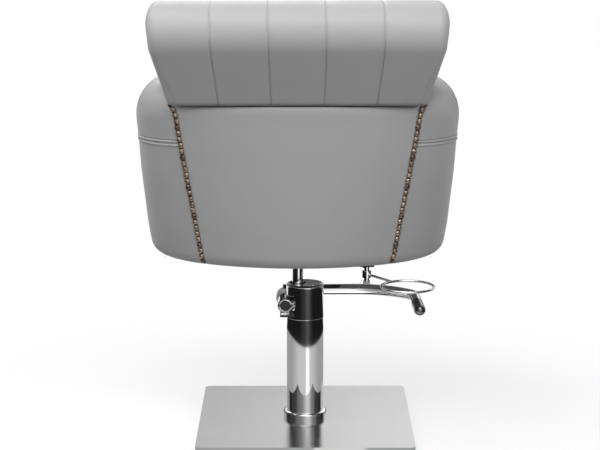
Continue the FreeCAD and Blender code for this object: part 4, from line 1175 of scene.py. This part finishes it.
    def ends(self) -> None:
        """The padded side panels that close both ends of the roll."""
        outline = [(cut.point - cut.way * (cut.depth * 0.93), cut.half)
                   for cut in self.cuts()[self.roll_start:]]
        centre = sum((p for p, _ in outline), Vector()) / len(outline)
        rows = []
        for share in evenly(9):
            puff = 0.012 * (1 - (1 - share) ** 2.5)
            row = []
            for point, half in outline:
                spot = between(centre, point, 1 - share * 0.97)
                row.append(Vector((between(half, 0.272, share * 0.5) - 0.010 + puff, spot.y, spot.z)))
            rows.append(row)
        skin = Skin()
        right = [skin.row(r) for r in rows]
        left = [skin.row([Vector((-p.x, p.y, p.z)) for p in r]) for r in rows]
        skin.weave(right, True)
        skin.weave(left, True)
        skin.faces += [tuple(right[-1]), tuple(left[-1])]
        skin.weave([right[0], left[0]], True)
        skin.piece("roll_sides", ["roll_core"], fill=0.9)

    def tuck(self) -> None:
        """The end of the cover, tucked in under the roll above the outer back."""

        def spots(x: float, place: Pair) -> Spots:
            """The lower and upper point at a place across and a place of the profile."""
            z = place[1] + ripple(Vector((x, 0.3, 0.1)), 0.03, 0.0004)
            return Vector((x, place[0], z)), Vector((x, place[0], z + self.tuck_thickness))

        across = [between(-self.tuck_half, self.tuck_half, s) for s in evenly(49)]
        Skin().plate(across, self.tuck_profile, spots).piece("cover_tuck")

    def build(self) -> None:
        """Makes the pad, its tucked end and the ends of its roll."""
        self.pad()
        self.tuck()
        self.ends()


@dataclass
class SeatDeck:
    """The cushion, the apron below it and the pieces under the seat."""

    half: float = 0.219
    rear: float = -0.158
    front: float = 0.284
    low: float = 0.4403
    corner: float = 0.042
    step: float = 0.012
    profile: Stops = (
        (0.80, 0.0), (0.93, 0.0), (0.970, 0.001), (0.985, 0.007), (0.992, 0.012), (1.0, 0.024),
        (1.004, 0.040), (1.0, 0.054), (0.992, 0.0615), (0.984, 0.0655), (0.962, 0.0705),
        (0.92, 0.075), (0.84, 0.079), (0.72, 0.0815), (0.56, 0.083), (0.36, 0.0838), (0.16, 0.084))
    slack: float = 0.975
    voxel: float = 0.006
    pressure: float = 4.0
    frames: int = 20
    most: float = 0.010
    welt: float = 0.003
    welt_heights: Pair = (0.0125, 0.0620)
    apron_half: float = 0.221
    apron_ends: Pair = (0.389, 0.434)
    apron_rear: float = 0.246
    apron_thickness: float = 0.014
    apron_padding: Padding = Padding(0.0025, 0.02, 0.008, 0.007)
    staple: Pair = (0.005, 0.00055)
    staple_z: float = 0.3858

    def outline(self) -> list[Vector]:
        """The cushion's rounded rectangle as a level ring of points."""
        radius, x = self.corner, self.half - self.corner
        low, high = self.rear + radius, self.front - radius
        points = []
        for cx, cy, start in ((x, low, -90), (x, high, 0), (-x, high, 90), (-x, low, 180)):
            for k in range(13):
                angle = math.radians(start + 90 * k / 12)
                points.append(Vector((cx + radius * math.cos(angle), cy + radius * math.sin(angle), 0)))
        ring = []
        for a, b in zip(points, points[1:] + points[:1]):
            count = max(1, round((b - a).length / self.step))
            ring += [between(a, b, k / count) for k in range(count)]
        return ring

    def swell(self, made: bpy.types.Object) -> None:
        """Blows a closed pad up as cloth under pressure, its underside held on the board.

        Args:
            made: the pad, in a shape a little smaller than its final one.
        """
        grid = made.modifiers.new("grid", "REMESH")
        grid.mode = "VOXEL"
        grid.voxel_size = self.voxel
        scene = bpy.context.scene
        graph = bpy.context.evaluated_depsgraph_get()
        fine = bpy.data.meshes.new_from_object(made.evaluated_get(graph))
        made.modifiers.clear()
        fine.materials.clear()
        fine.materials.append(Slot.LEATHERETTE.finish.material())
        made.data = fine
        held = made.vertex_groups.new(name="held")
        resting = [v.index for v in fine.vertices if v.co.z < self.low + 0.004]
        held.add(resting, 1.0, "REPLACE")
        before = [v.co.copy() for v in fine.vertices]
        cloth = made.modifiers.new("cloth", "CLOTH")
        cloth.settings.use_pressure = True
        cloth.settings.uniform_pressure_force = self.pressure
        cloth.settings.effector_weights.gravity = 0.0
        cloth.settings.vertex_group_mass = "held"
        cloth.point_cache.frame_end = self.frames
        for step in range(1, self.frames + 1):
            scene.frame_set(step)
        blown = made.evaluated_get(bpy.context.evaluated_depsgraph_get()).data
        after = [v.co.copy() for v in blown.vertices]
        made.modifiers.clear()
        for vertex, old, new in zip(fine.vertices, before, after):
            move = new - old
            if move.length > self.most:
                move *= self.most / move.length
            vertex.co = old + move
        scene.frame_set(1)
        smooth = made.modifiers.new("smooth", "SUBSURF")
        smooth.levels = smooth.render_levels = 1
        fine.polygons.foreach_set("use_smooth", [True] * len(fine.polygons))

    def cushion(self) -> None:
        """The seat cushion: a boxed pad that is crowned on top, with a welt round each edge."""
        base = self.outline()
        centre = Vector((0, (self.rear + self.front) / 2, 0))
        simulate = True
        tight = self.slack if simulate else 1.0
        rings = []
        for spread, up in self.profile:
            ring = []
            for p in base:
                spot = between(centre, p, spread * tight)
                soft = ripple(Vector((p.x, p.y, up)), 0.09, 0.0012) * (1 if spread > 0.9 else 0.6)
                ring.append(Vector((spot.x, spot.y, self.low + up * tight + soft * (up > 0.01))))
            rings.append(ring)
        made = Skin().barrel(rings).piece("seat_pad", ["seat_cushion"])
        if simulate:
            self.swell(made)
        self.welts(made, base, centre)

    def welts(self, pad: bpy.types.Object, base: list[Vector], centre: Vector) -> None:
        """The cords sewn round the pad's two edges, laid on its surface.

        Args:
            pad: the finished pad.
            base: its outline.
            centre: the middle of its outline.
        """
        graph = bpy.context.evaluated_depsgraph_get()
        tree = BVHTree.FromObject(pad.evaluated_get(graph), graph)
        welt = Skin()
        for up in self.welt_heights:
            lift, path = Vector((SEAT_X, 0, self.low + up)), []
            for p in base:
                outside = between(centre, p, 1.12) + lift
                inside = (centre + lift - outside).normalized()
                hit = tree.ray_cast(outside, inside, 0.2)[0]
                spot = hit if hit is not None else between(centre, p, 0.99) + lift
                path.append(spot + inside * 0.0006)
            for _ in range(3):
                path = [(a + b * 2 + c) / 4
                        for a, b, c in zip(path[-1:] + path[:-1], path, path[1:] + path[:1])]
            welt.tube(path, self.welt, 10, True)
        welt.piece("seat_welt", shift=0.0)

    def apron(self) -> None:
        """The padded panel across the front of the seat board."""
        low, high = self.apron_ends

        def spots(z: float, across: float) -> Spots:
            """The outer and inner point at a height and a share of the way across."""
            x = between(-self.apron_half, self.apron_half, across)
            to_edge = min(self.apron_half - abs(x), z - low, high - z)
            front = self.apron_rear + self.apron_thickness + self.apron_padding.lift(to_edge)
            return Vector((x, front, z)), Vector((x, self.apron_rear, z))

        heights = [between(low, high, s) for s in bunched(20)]
        Skin().plate(heights, bunched(60), spots).piece("seat_apron", ["front_apron"], fill=0.5)

    def staples(self) -> None:
        """The staples that hold the dust cover along its edge."""
        skin = Skin()
        rng = random.Random(11)
        reach, radius = self.staple
        rows = [[(side * 0.272, between(-0.12, 0.205, s)) for s in evenly(14)] for side in (-1, 1)]
        rows.append([(between(-0.2, 0.2, s), 0.216) for s in evenly(14)])
        for row, start in zip(rows, (QUARTER, QUARTER, 0.0)):
            for x, y in row:
                tilt = rng.uniform(-0.2, 0.2)
                angle = start - tilt if start else tilt
                way = Vector((math.cos(angle), math.sin(angle), 0)) * reach
                middle = Vector((x, y, self.staple_z))
                skin.tube([middle - way, middle + way], radius, 6)
        skin.piece("cover_staples", slot=Slot.STEEL)

    def build(self) -> None:
        """Makes the soft pieces and dresses what is under them."""
        self.cushion()
        self.apron()
        self.staples()
        dress("dust_cover", "seat_board", "seat_rails", "webbing_lengthwise", "webbing_crosswise",
              "back_frame", "arm_frame_right", "arm_frame_left")


@dataclass
class NailStrips:
    """A stamped strip of brass domes up each side of the back, with a darker real nail at every fifth."""

    start: float = 0.393
    end: float = 0.722
    pitch: float = 0.0126
    radius: float = 0.0054
    dome: float = 0.0032
    width: float = 0.0088
    lift: float = 0.0011
    swing: float = 0.009
    swing_height: float = 0.026
    every: int = 5
    nail_size: float = 1.04
    # The band's brass is much darker than the domes': brass patina, plus painted shade for the gaps between
    # the domes.
    band: Finish = AntiqueBrass("brass_band_painted_shade", hue(136, 112, 92), hue(40, 29, 24))
    nail: Finish = AntiqueBrass("dark_brass", hue(150, 124, 108), hue(44, 31, 30))

    def turn(self, z: float) -> float:
        """Where the strip lies on the round corner, as an angle: its top swings out under the roll."""
        level = Level(z)
        out = max(0.0, 1 - (self.end - z) / self.swing_height)
        return level.turn + self.swing * out**2 / level.corner_radius

    def places(self) -> list[Place]:
        """Points up the strip with the way out and the way up at each."""
        made, z = [], self.start
        while z < self.end:
            angle, above = self.turn(z), z + self.radius
            point = Level(z).on_corner(angle)
            up = (Level(above).on_corner(self.turn(above)) - point).normalized()
            way = facing(angle)
            made.append((point, (way - up * way.dot(up)).normalized(), up))
            z += self.pitch * up.z
        return made

    def strip(self, places: list[Place]) -> Skin:
        """The flat band, pinched in a little between the domes."""

        def spots(k: int, side: float) -> Spots:
            """The outer and inner point at a quarter step up the strip and a share of its half width."""
            low = min(k // 4, len(places) - 2)
            share = k / 4 - low
            point, way, up = (between(a, b, share) for a, b in zip(places[low], places[low + 1]))
            wide = self.width / 2 * (0.86 + 0.14 * math.cos(FULL_TURN * share))
            spot = point + up.cross(way).normalized() * (side * wide)
            return spot + way * (self.lift - 0.0002 - 0.0005 * abs(side) ** 4), spot + way * 0.0003

        return Skin().plate(range(4 * (len(places) - 1) + 1), (-1, -0.8, 0, 0.8, 1), spots)

    def head(self, skin: Skin, place: Place, rng: random.Random,
             size: float = 1.0) -> None:
        """Adds one stamped dome, a little uneven and a little askew.

        Args:
            skin: the piece that it joins.
            place: its point with the ways out and up.
            rng: the seeded source of its unevenness.
            size: its size against the strip's own domes.
        """
        point, way, up = place
        across = up.cross(way).normalized()
        radius = self.radius * size * rng.uniform(0.94, 1.03)
        height = self.dome * size * rng.uniform(0.88, 1.12)
        way = (way + across * rng.uniform(-0.13, 0.13) + up * rng.uniform(-0.13, 0.13)).normalized()
        across = up.cross(way).normalized()
        up = way.cross(across)
        foot = point + way * (self.lift - 0.0006)
        foot += across * rng.uniform(-0.0005, 0.0005) + up * rng.uniform(-0.0004, 0.0004)
        seed = Vector((rng.random(), rng.random(), rng.random())) * 9
        rings = []
        for k in range(8):
            angle = QUARTER * k / 7.6
            ring = []
            for turn in around(22):
                side = across * math.cos(turn) + up * math.sin(turn)
                dent = 1 + 0.06 * noise.noise(seed + side * 1.3 + way * k * 0.25)
                ring.append(foot + side * (radius * math.cos(angle) * dent)
                            + way * (height * math.sin(angle) * dent))
            rings.append(ring)
        skin.barrel(rings)

    def build(self) -> None:
        """Makes both strips and their nails."""
        places = self.places()
        for mirror, side in SIDES:
            rng = random.Random(5 if mirror else 8)
            domes, nails = Skin(), Skin()
            for k, place in enumerate(places[1:-1]):
                if k % self.every == self.every // 2:
                    self.head(nails, place, rng, self.nail_size)
                else:
                    self.head(domes, place, rng)
            for skin, name, node, finish in (
                    (self.strip(places), "nail_band", "nail_strip", self.band),
                    (domes, "brass_domes", "nail_strip", None),
                    (nails, "brass_nails", "strip_nails", self.nail)):
                skin.piece(f"{name}_{side}", [f"{node}_{side}"], Slot.ANTIQUE_BRASS, mirror=mirror,
                           finish=finish)


@dataclass
class Stand:
    """The square base, the pump column, the ram and the plate that carries the seat."""

    shaft: Pair = (-0.042, 0.262)
    cap_back: float = -0.0333
    cap_profile: Stops = (
        (0.0, 0.0), (0.0141, 0.0), (0.0145, 0.0004), (0.0145, 0.0030), (0.0143, 0.0039), (0.0137, 0.0045),
        (0.0130, 0.0046), (0.0124, 0.0042), (0.0121, 0.0036), (0.0118, 0.0034), (0.0112, 0.0034),
        (0.0, 0.0034))

    def cap(self) -> None:
        """The plug in the near end of the lever's boss, turned with a raised rim and a low dome."""
        skin, rows = Skin(), []
        x, z = self.shaft
        for radius, height in self.cap_profile:
            rows.append(skin.row(Vector((x + radius * math.cos(a), self.cap_back - height,
                                         z + radius * math.sin(a))) for a in around(56)))
        skin.weave(rows, True)
        skin.piece("boss_plug", ["boss_cap"], Slot.of_node("boss_cap"), "base", 0.0)

    def build(self) -> None:
        """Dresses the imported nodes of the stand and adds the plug."""
        dress("base_plate", "base_cover", "floor_mat", "flange_bolts", "column_ring", "pump_flange",
              "column_tube", "oil_reservoir", "ram_barrel", "plunger_barrel", "pump_head", "ram_wiper",
              "oil_filler_screw", "lever_bushes", "ram", "piston", "piston_seal", "pump_plunger",
              "swivel_hub", "thrust_washer", "mounting_plate", "mounting_bolts")
        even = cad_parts["pump_head"].modifiers.new("even", "WEIGHTED_NORMAL")
        even.mode = "FACE_AREA"
        even.keep_sharp = True
        self.cap()


@dataclass
class FootLever:
    """The bent foot lever, its hub, its end cap and the spring that lifts it again."""

    nodes: tuple[str, ...] = ("lever_shaft", "lever_hub", "lever_bar", "pedal_cap", "pump_finger")
    hub: Finish = Chrome("satin_chrome", tone(222), 0.38)
    spring_place: Pair = (0.008, 0.020)
    spring_ends: Pair = (0.2162, 0.24505)
    spring_radius: float = 0.006
    spring_wire: float = 0.0006
    spring_turns: int = 6
    spring_travel: float = 0.0152

    def spring(self) -> None:
        """The plunger's return spring, a coil of wire that rides on the plunger."""
        skin = Skin()
        (x, y), (low, high), radius = self.spring_place, self.spring_ends, self.spring_radius
        path = []
        for share in evenly(self.spring_turns * 20 + 1):
            angle = FULL_TURN * self.spring_turns * share
            path.append(Vector((x + radius * math.cos(angle), y + radius * math.sin(angle),
                                between(low, high, share))))
        skin.tube(path, self.spring_wire)
        made = skin.piece("return_spring", ["plunger_spring"], Slot.of_node("plunger_spring"), "plunger",
                          0.0)
        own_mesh(made)

    def build(self) -> None:
        """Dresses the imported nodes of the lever, its hub in a duller plating, and adds the spring."""
        dress(*self.nodes)
        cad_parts["lever_hub"].data.materials[0] = self.hub.material()
        self.spring()


@dataclass
class DryerHolder:
    """The wire loop that holds a hair dryer, with its post under the seat."""

    nodes: tuple[str, ...] = ("holder_plate", "holder_screws", "holder_post", "holder_knob",
                              "holder_collar", "holder_stem", "holder_loop")

    def build(self) -> None:
        """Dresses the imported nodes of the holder."""
        dress(*self.nodes)


@dataclass
class Studio:
    """A white sweep, soft lamps and the camera.

    Polished metal mirrors a world and a floor of their own: bright strips and fields, placed by
    how far they lie aside of the way to the camera, with dark between them.
    """

    lens: float = 109.05
    eye: Colour = (-0.0109, -3.763, 1.1686)
    dip: float = 11.13
    fill: float = 0.24
    bounce: float = 0.35
    lit_centre: Pair = (-0.02, 0.06)
    lit_reach: float = 0.745
    floor_reach: float = 9.0
    floor_z: float = -0.0005
    tiny: float = 0.001
    small: float = 0.02
    strip_aside: float = 0.28
    strip_half: float = 0.21
    far_aside: float = 0.36
    far_half: float = 0.33
    far_start: float = 1.39
    glow_aside: float = 0.25
    front_start: float = 0.80
    low_top: float = 0.34
    shadow: float = 0.34
    sweep_stops: Stops = ((0.44, 0.64), (0.50, 0.80), (0.55, 1.0))
    spread_stops: Stops = ((0.12, 0.0), (0.24, 0.96))
    horizon_stops: Stops = ((0.229, 0.04), (0.237, 1.0))
    strip_stops: Stops = ((0.19, 0.0), (0.23, 1.0))
    height_stops: Stops = ((0.26, 1.0), (0.34, 0.16), (0.80, 0.16), (0.82, 0.0))
    low_stops: Stops = ((0.05, 0.0), (0.22, 0.62), (0.80, 0.94))
    round_stops: Stops = ((0.0, 0.42), (0.35, 0.52), (0.85, 0.72))
    glow_stops: Stops = ((0.1, 0.0), (0.9, 1.0))
    near_stops: Stops = ((0.55, 0.0), (1.25, 1.0))
    lamps: tuple = (
        ("top", (-0.8, -1.2, 3.1), (0, -0.1, 0.75), (4.2, 1.2), 92, True),
        ("rear", (0.3, -3.0, 2.95), (0, -0.25, 0.6), (4.0, 1.0), 40, True),
        ("right", (2.7, -1.9, 1.8), (0.2, -0.1, 0.7), (1.2, 1.0), 39, False),
        ("left", (-2.7, -1.9, 1.9), (-0.2, -0.1, 0.8), (1.2, 1.0), 32, False),
        ("front", (-0.6, 3.0, 2.8), (0, 0.1, 0.5), (1.8, 1.2), 40, True))

    def lamp(self, name: str, place: Colour, target: Colour, size: Pair, power: float,
             mirrored: bool) -> None:
        """A soft rectangular lamp.

        Args:
            name: the lamp's name.
            place: where it stands.
            target: the point that it faces.
            size: its width and height.
            power: its power in watts.
            mirrored: False where polished metal doesn't show it.
        """
        data = bpy.data.lights.new(name, "AREA")
        data.shape = "RECTANGLE"
        data.size, data.size_y = size
        data.energy = power
        made = placed(name, data)
        made.location = place
        made.rotation_euler = (Vector(target) - Vector(place)).to_track_quat("-Z", "Y").to_euler()
        made.visible_glossy = mirrored

    def world(self) -> None:
        """White for the camera, and soft light with a darker side behind the camera for the rest."""
        world = bpy.data.worlds.new("studio")
        bpy.context.scene.world = world
        world.use_nodes = True
        sheet = NodeSheet(world.node_tree)
        seen, glossy = sheet.rays()
        x, y, z = sheet.parts(sheet.shade("TexCoord", output="Generated"))
        sweep = sheet.ramp(x / y.most(self.tiny) + 0.5, self.sweep_stops) * 1.3
        spread = abs(x) / y.most(self.tiny)
        behind = (1 - sheet.ramp(spread * 0.1, self.spread_stops)) * sweep
        behind = behind * sheet.ramp(z, self.horizon_stops)
        aside = abs(x / (0 - y).most(self.small) - self.strip_aside)
        strip = (1 - sheet.ramp(aside, self.strip_stops)) * (y < 0.0)
        strip = strip * sheet.ramp(z, self.height_stops)
        low = 1 - sheet.ramp(aside * 0.4, self.low_stops)
        low = low * (y < 0.0) * (z > 0.0) * (z < self.low_top)
        mirrored = behind.most(strip * 1.2).most(low * 1.5)
        ambient = glossy * mirrored + (1 - glossy) * self.fill
        shown = seen + (1 - seen) * ambient
        sheet.node("OutputWorld", {
            0: sheet.shade("Background", {"Color": WHITE, "Strength": shown})})

    def floor(self) -> None:
        """A round white floor that keeps the chair's shadow, and that glows for polished metal with a
        painted reflection of a studio.
        """
        mesh = bpy.data.meshes.new("floor")
        edge = [(self.floor_reach * math.cos(a), self.floor_reach * math.sin(a), self.floor_z)
                for a in around(96)]
        mesh.from_pydata(edge, [], [tuple(range(len(edge)))])
        made = placed("floor", mesh)
        paper = bpy.data.materials.new("paper")
        paper.use_nodes = True
        sheet = NodeSheet(paper.node_tree)
        seen, glossy = sheet.rays()
        x, y, _ = sheet.parts(sheet.place())
        # For glossy rays the floor glows: a painted reflection of a bright disc round the chair,
        # softbox-like strips and dark beyond.
        from_x, from_y = x - self.lit_centre[0], y - self.lit_centre[1]
        away = (x * x + y * y) ** 0.5
        lit = (from_x * from_x + from_y * from_y) ** 0.5 < self.lit_reach
        round_it = sheet.ramp((0 - y) / away.most(0.01), self.round_stops)
        side, towards = x / (0 - y).most(self.small), y < 0.0
        near_strip = (abs(side - self.strip_aside) < self.strip_half) * towards
        far_strip = (abs(side - self.far_aside) < self.far_half) * towards
        glow = 1 - sheet.ramp(abs(side - self.glow_aside), self.glow_stops)
        dark = (0.012 + glow * towards * 0.045).most(near_strip * 0.09)
        dark = dark.most(far_strip * (away > self.far_start) * 1.2).most(y > self.front_start)
        bright = (lit * round_it + (1 - lit) * dark).most(near_strip * lit * 1.3)
        white, mirror = (sheet.shade("Emission", {"Color": WHITE, "Strength": strength})
                         for strength in (1.0, bright))
        plain, dull = (sheet.shade("BsdfDiffuse", {"Color": (grey, grey, grey)})
                       for grey in (0.82, self.bounce))

        def mixed(share: Shade, first: Shade, second: Shade) -> Shade:
            """The first surface where the share is 0 and the second where it is 1."""
            return sheet.shade("MixShader", {0: share, 1: first, 2: second})

        near = 1 - sheet.ramp(away, self.near_stops)
        surface = mixed(seen, mixed(glossy, dull, mirror), mixed(near * self.shadow, white, plain))
        sheet.node("OutputMaterial", {0: surface})
        mesh.materials.append(paper)

    def camera(self) -> None:
        """The camera at the photographed angle."""
        data = bpy.data.cameras.new("camera")
        data.lens = self.lens
        data.sensor_width = 36.0
        data.clip_end = 60.0
        made = placed("camera", data)
        made.location = self.eye
        made.rotation_euler = (math.radians(90 - self.dip), 0, 0)
        bpy.context.scene.camera = made

    def build(self) -> None:
        """Sets up the floor, the lamps, the world and the camera."""
        bpy.context.scene.view_settings.view_transform = "Standard"
        self.floor()
        self.world()
        for lamp in self.lamps:
            self.lamp(*lamp)
        self.camera()


def main() -> None:
    """Builds every part of the chair and the studio."""
    logging.basicConfig(level=logging.INFO, format="%(name)s: %(message)s")
    for part in (Stand(), FootLever(), DryerHolder(), TubShell(), Arms(), BackPad(), SeatDeck(),
                 NailStrips(), Studio()):
        part.build()


if __name__ == "__main__":
    main()
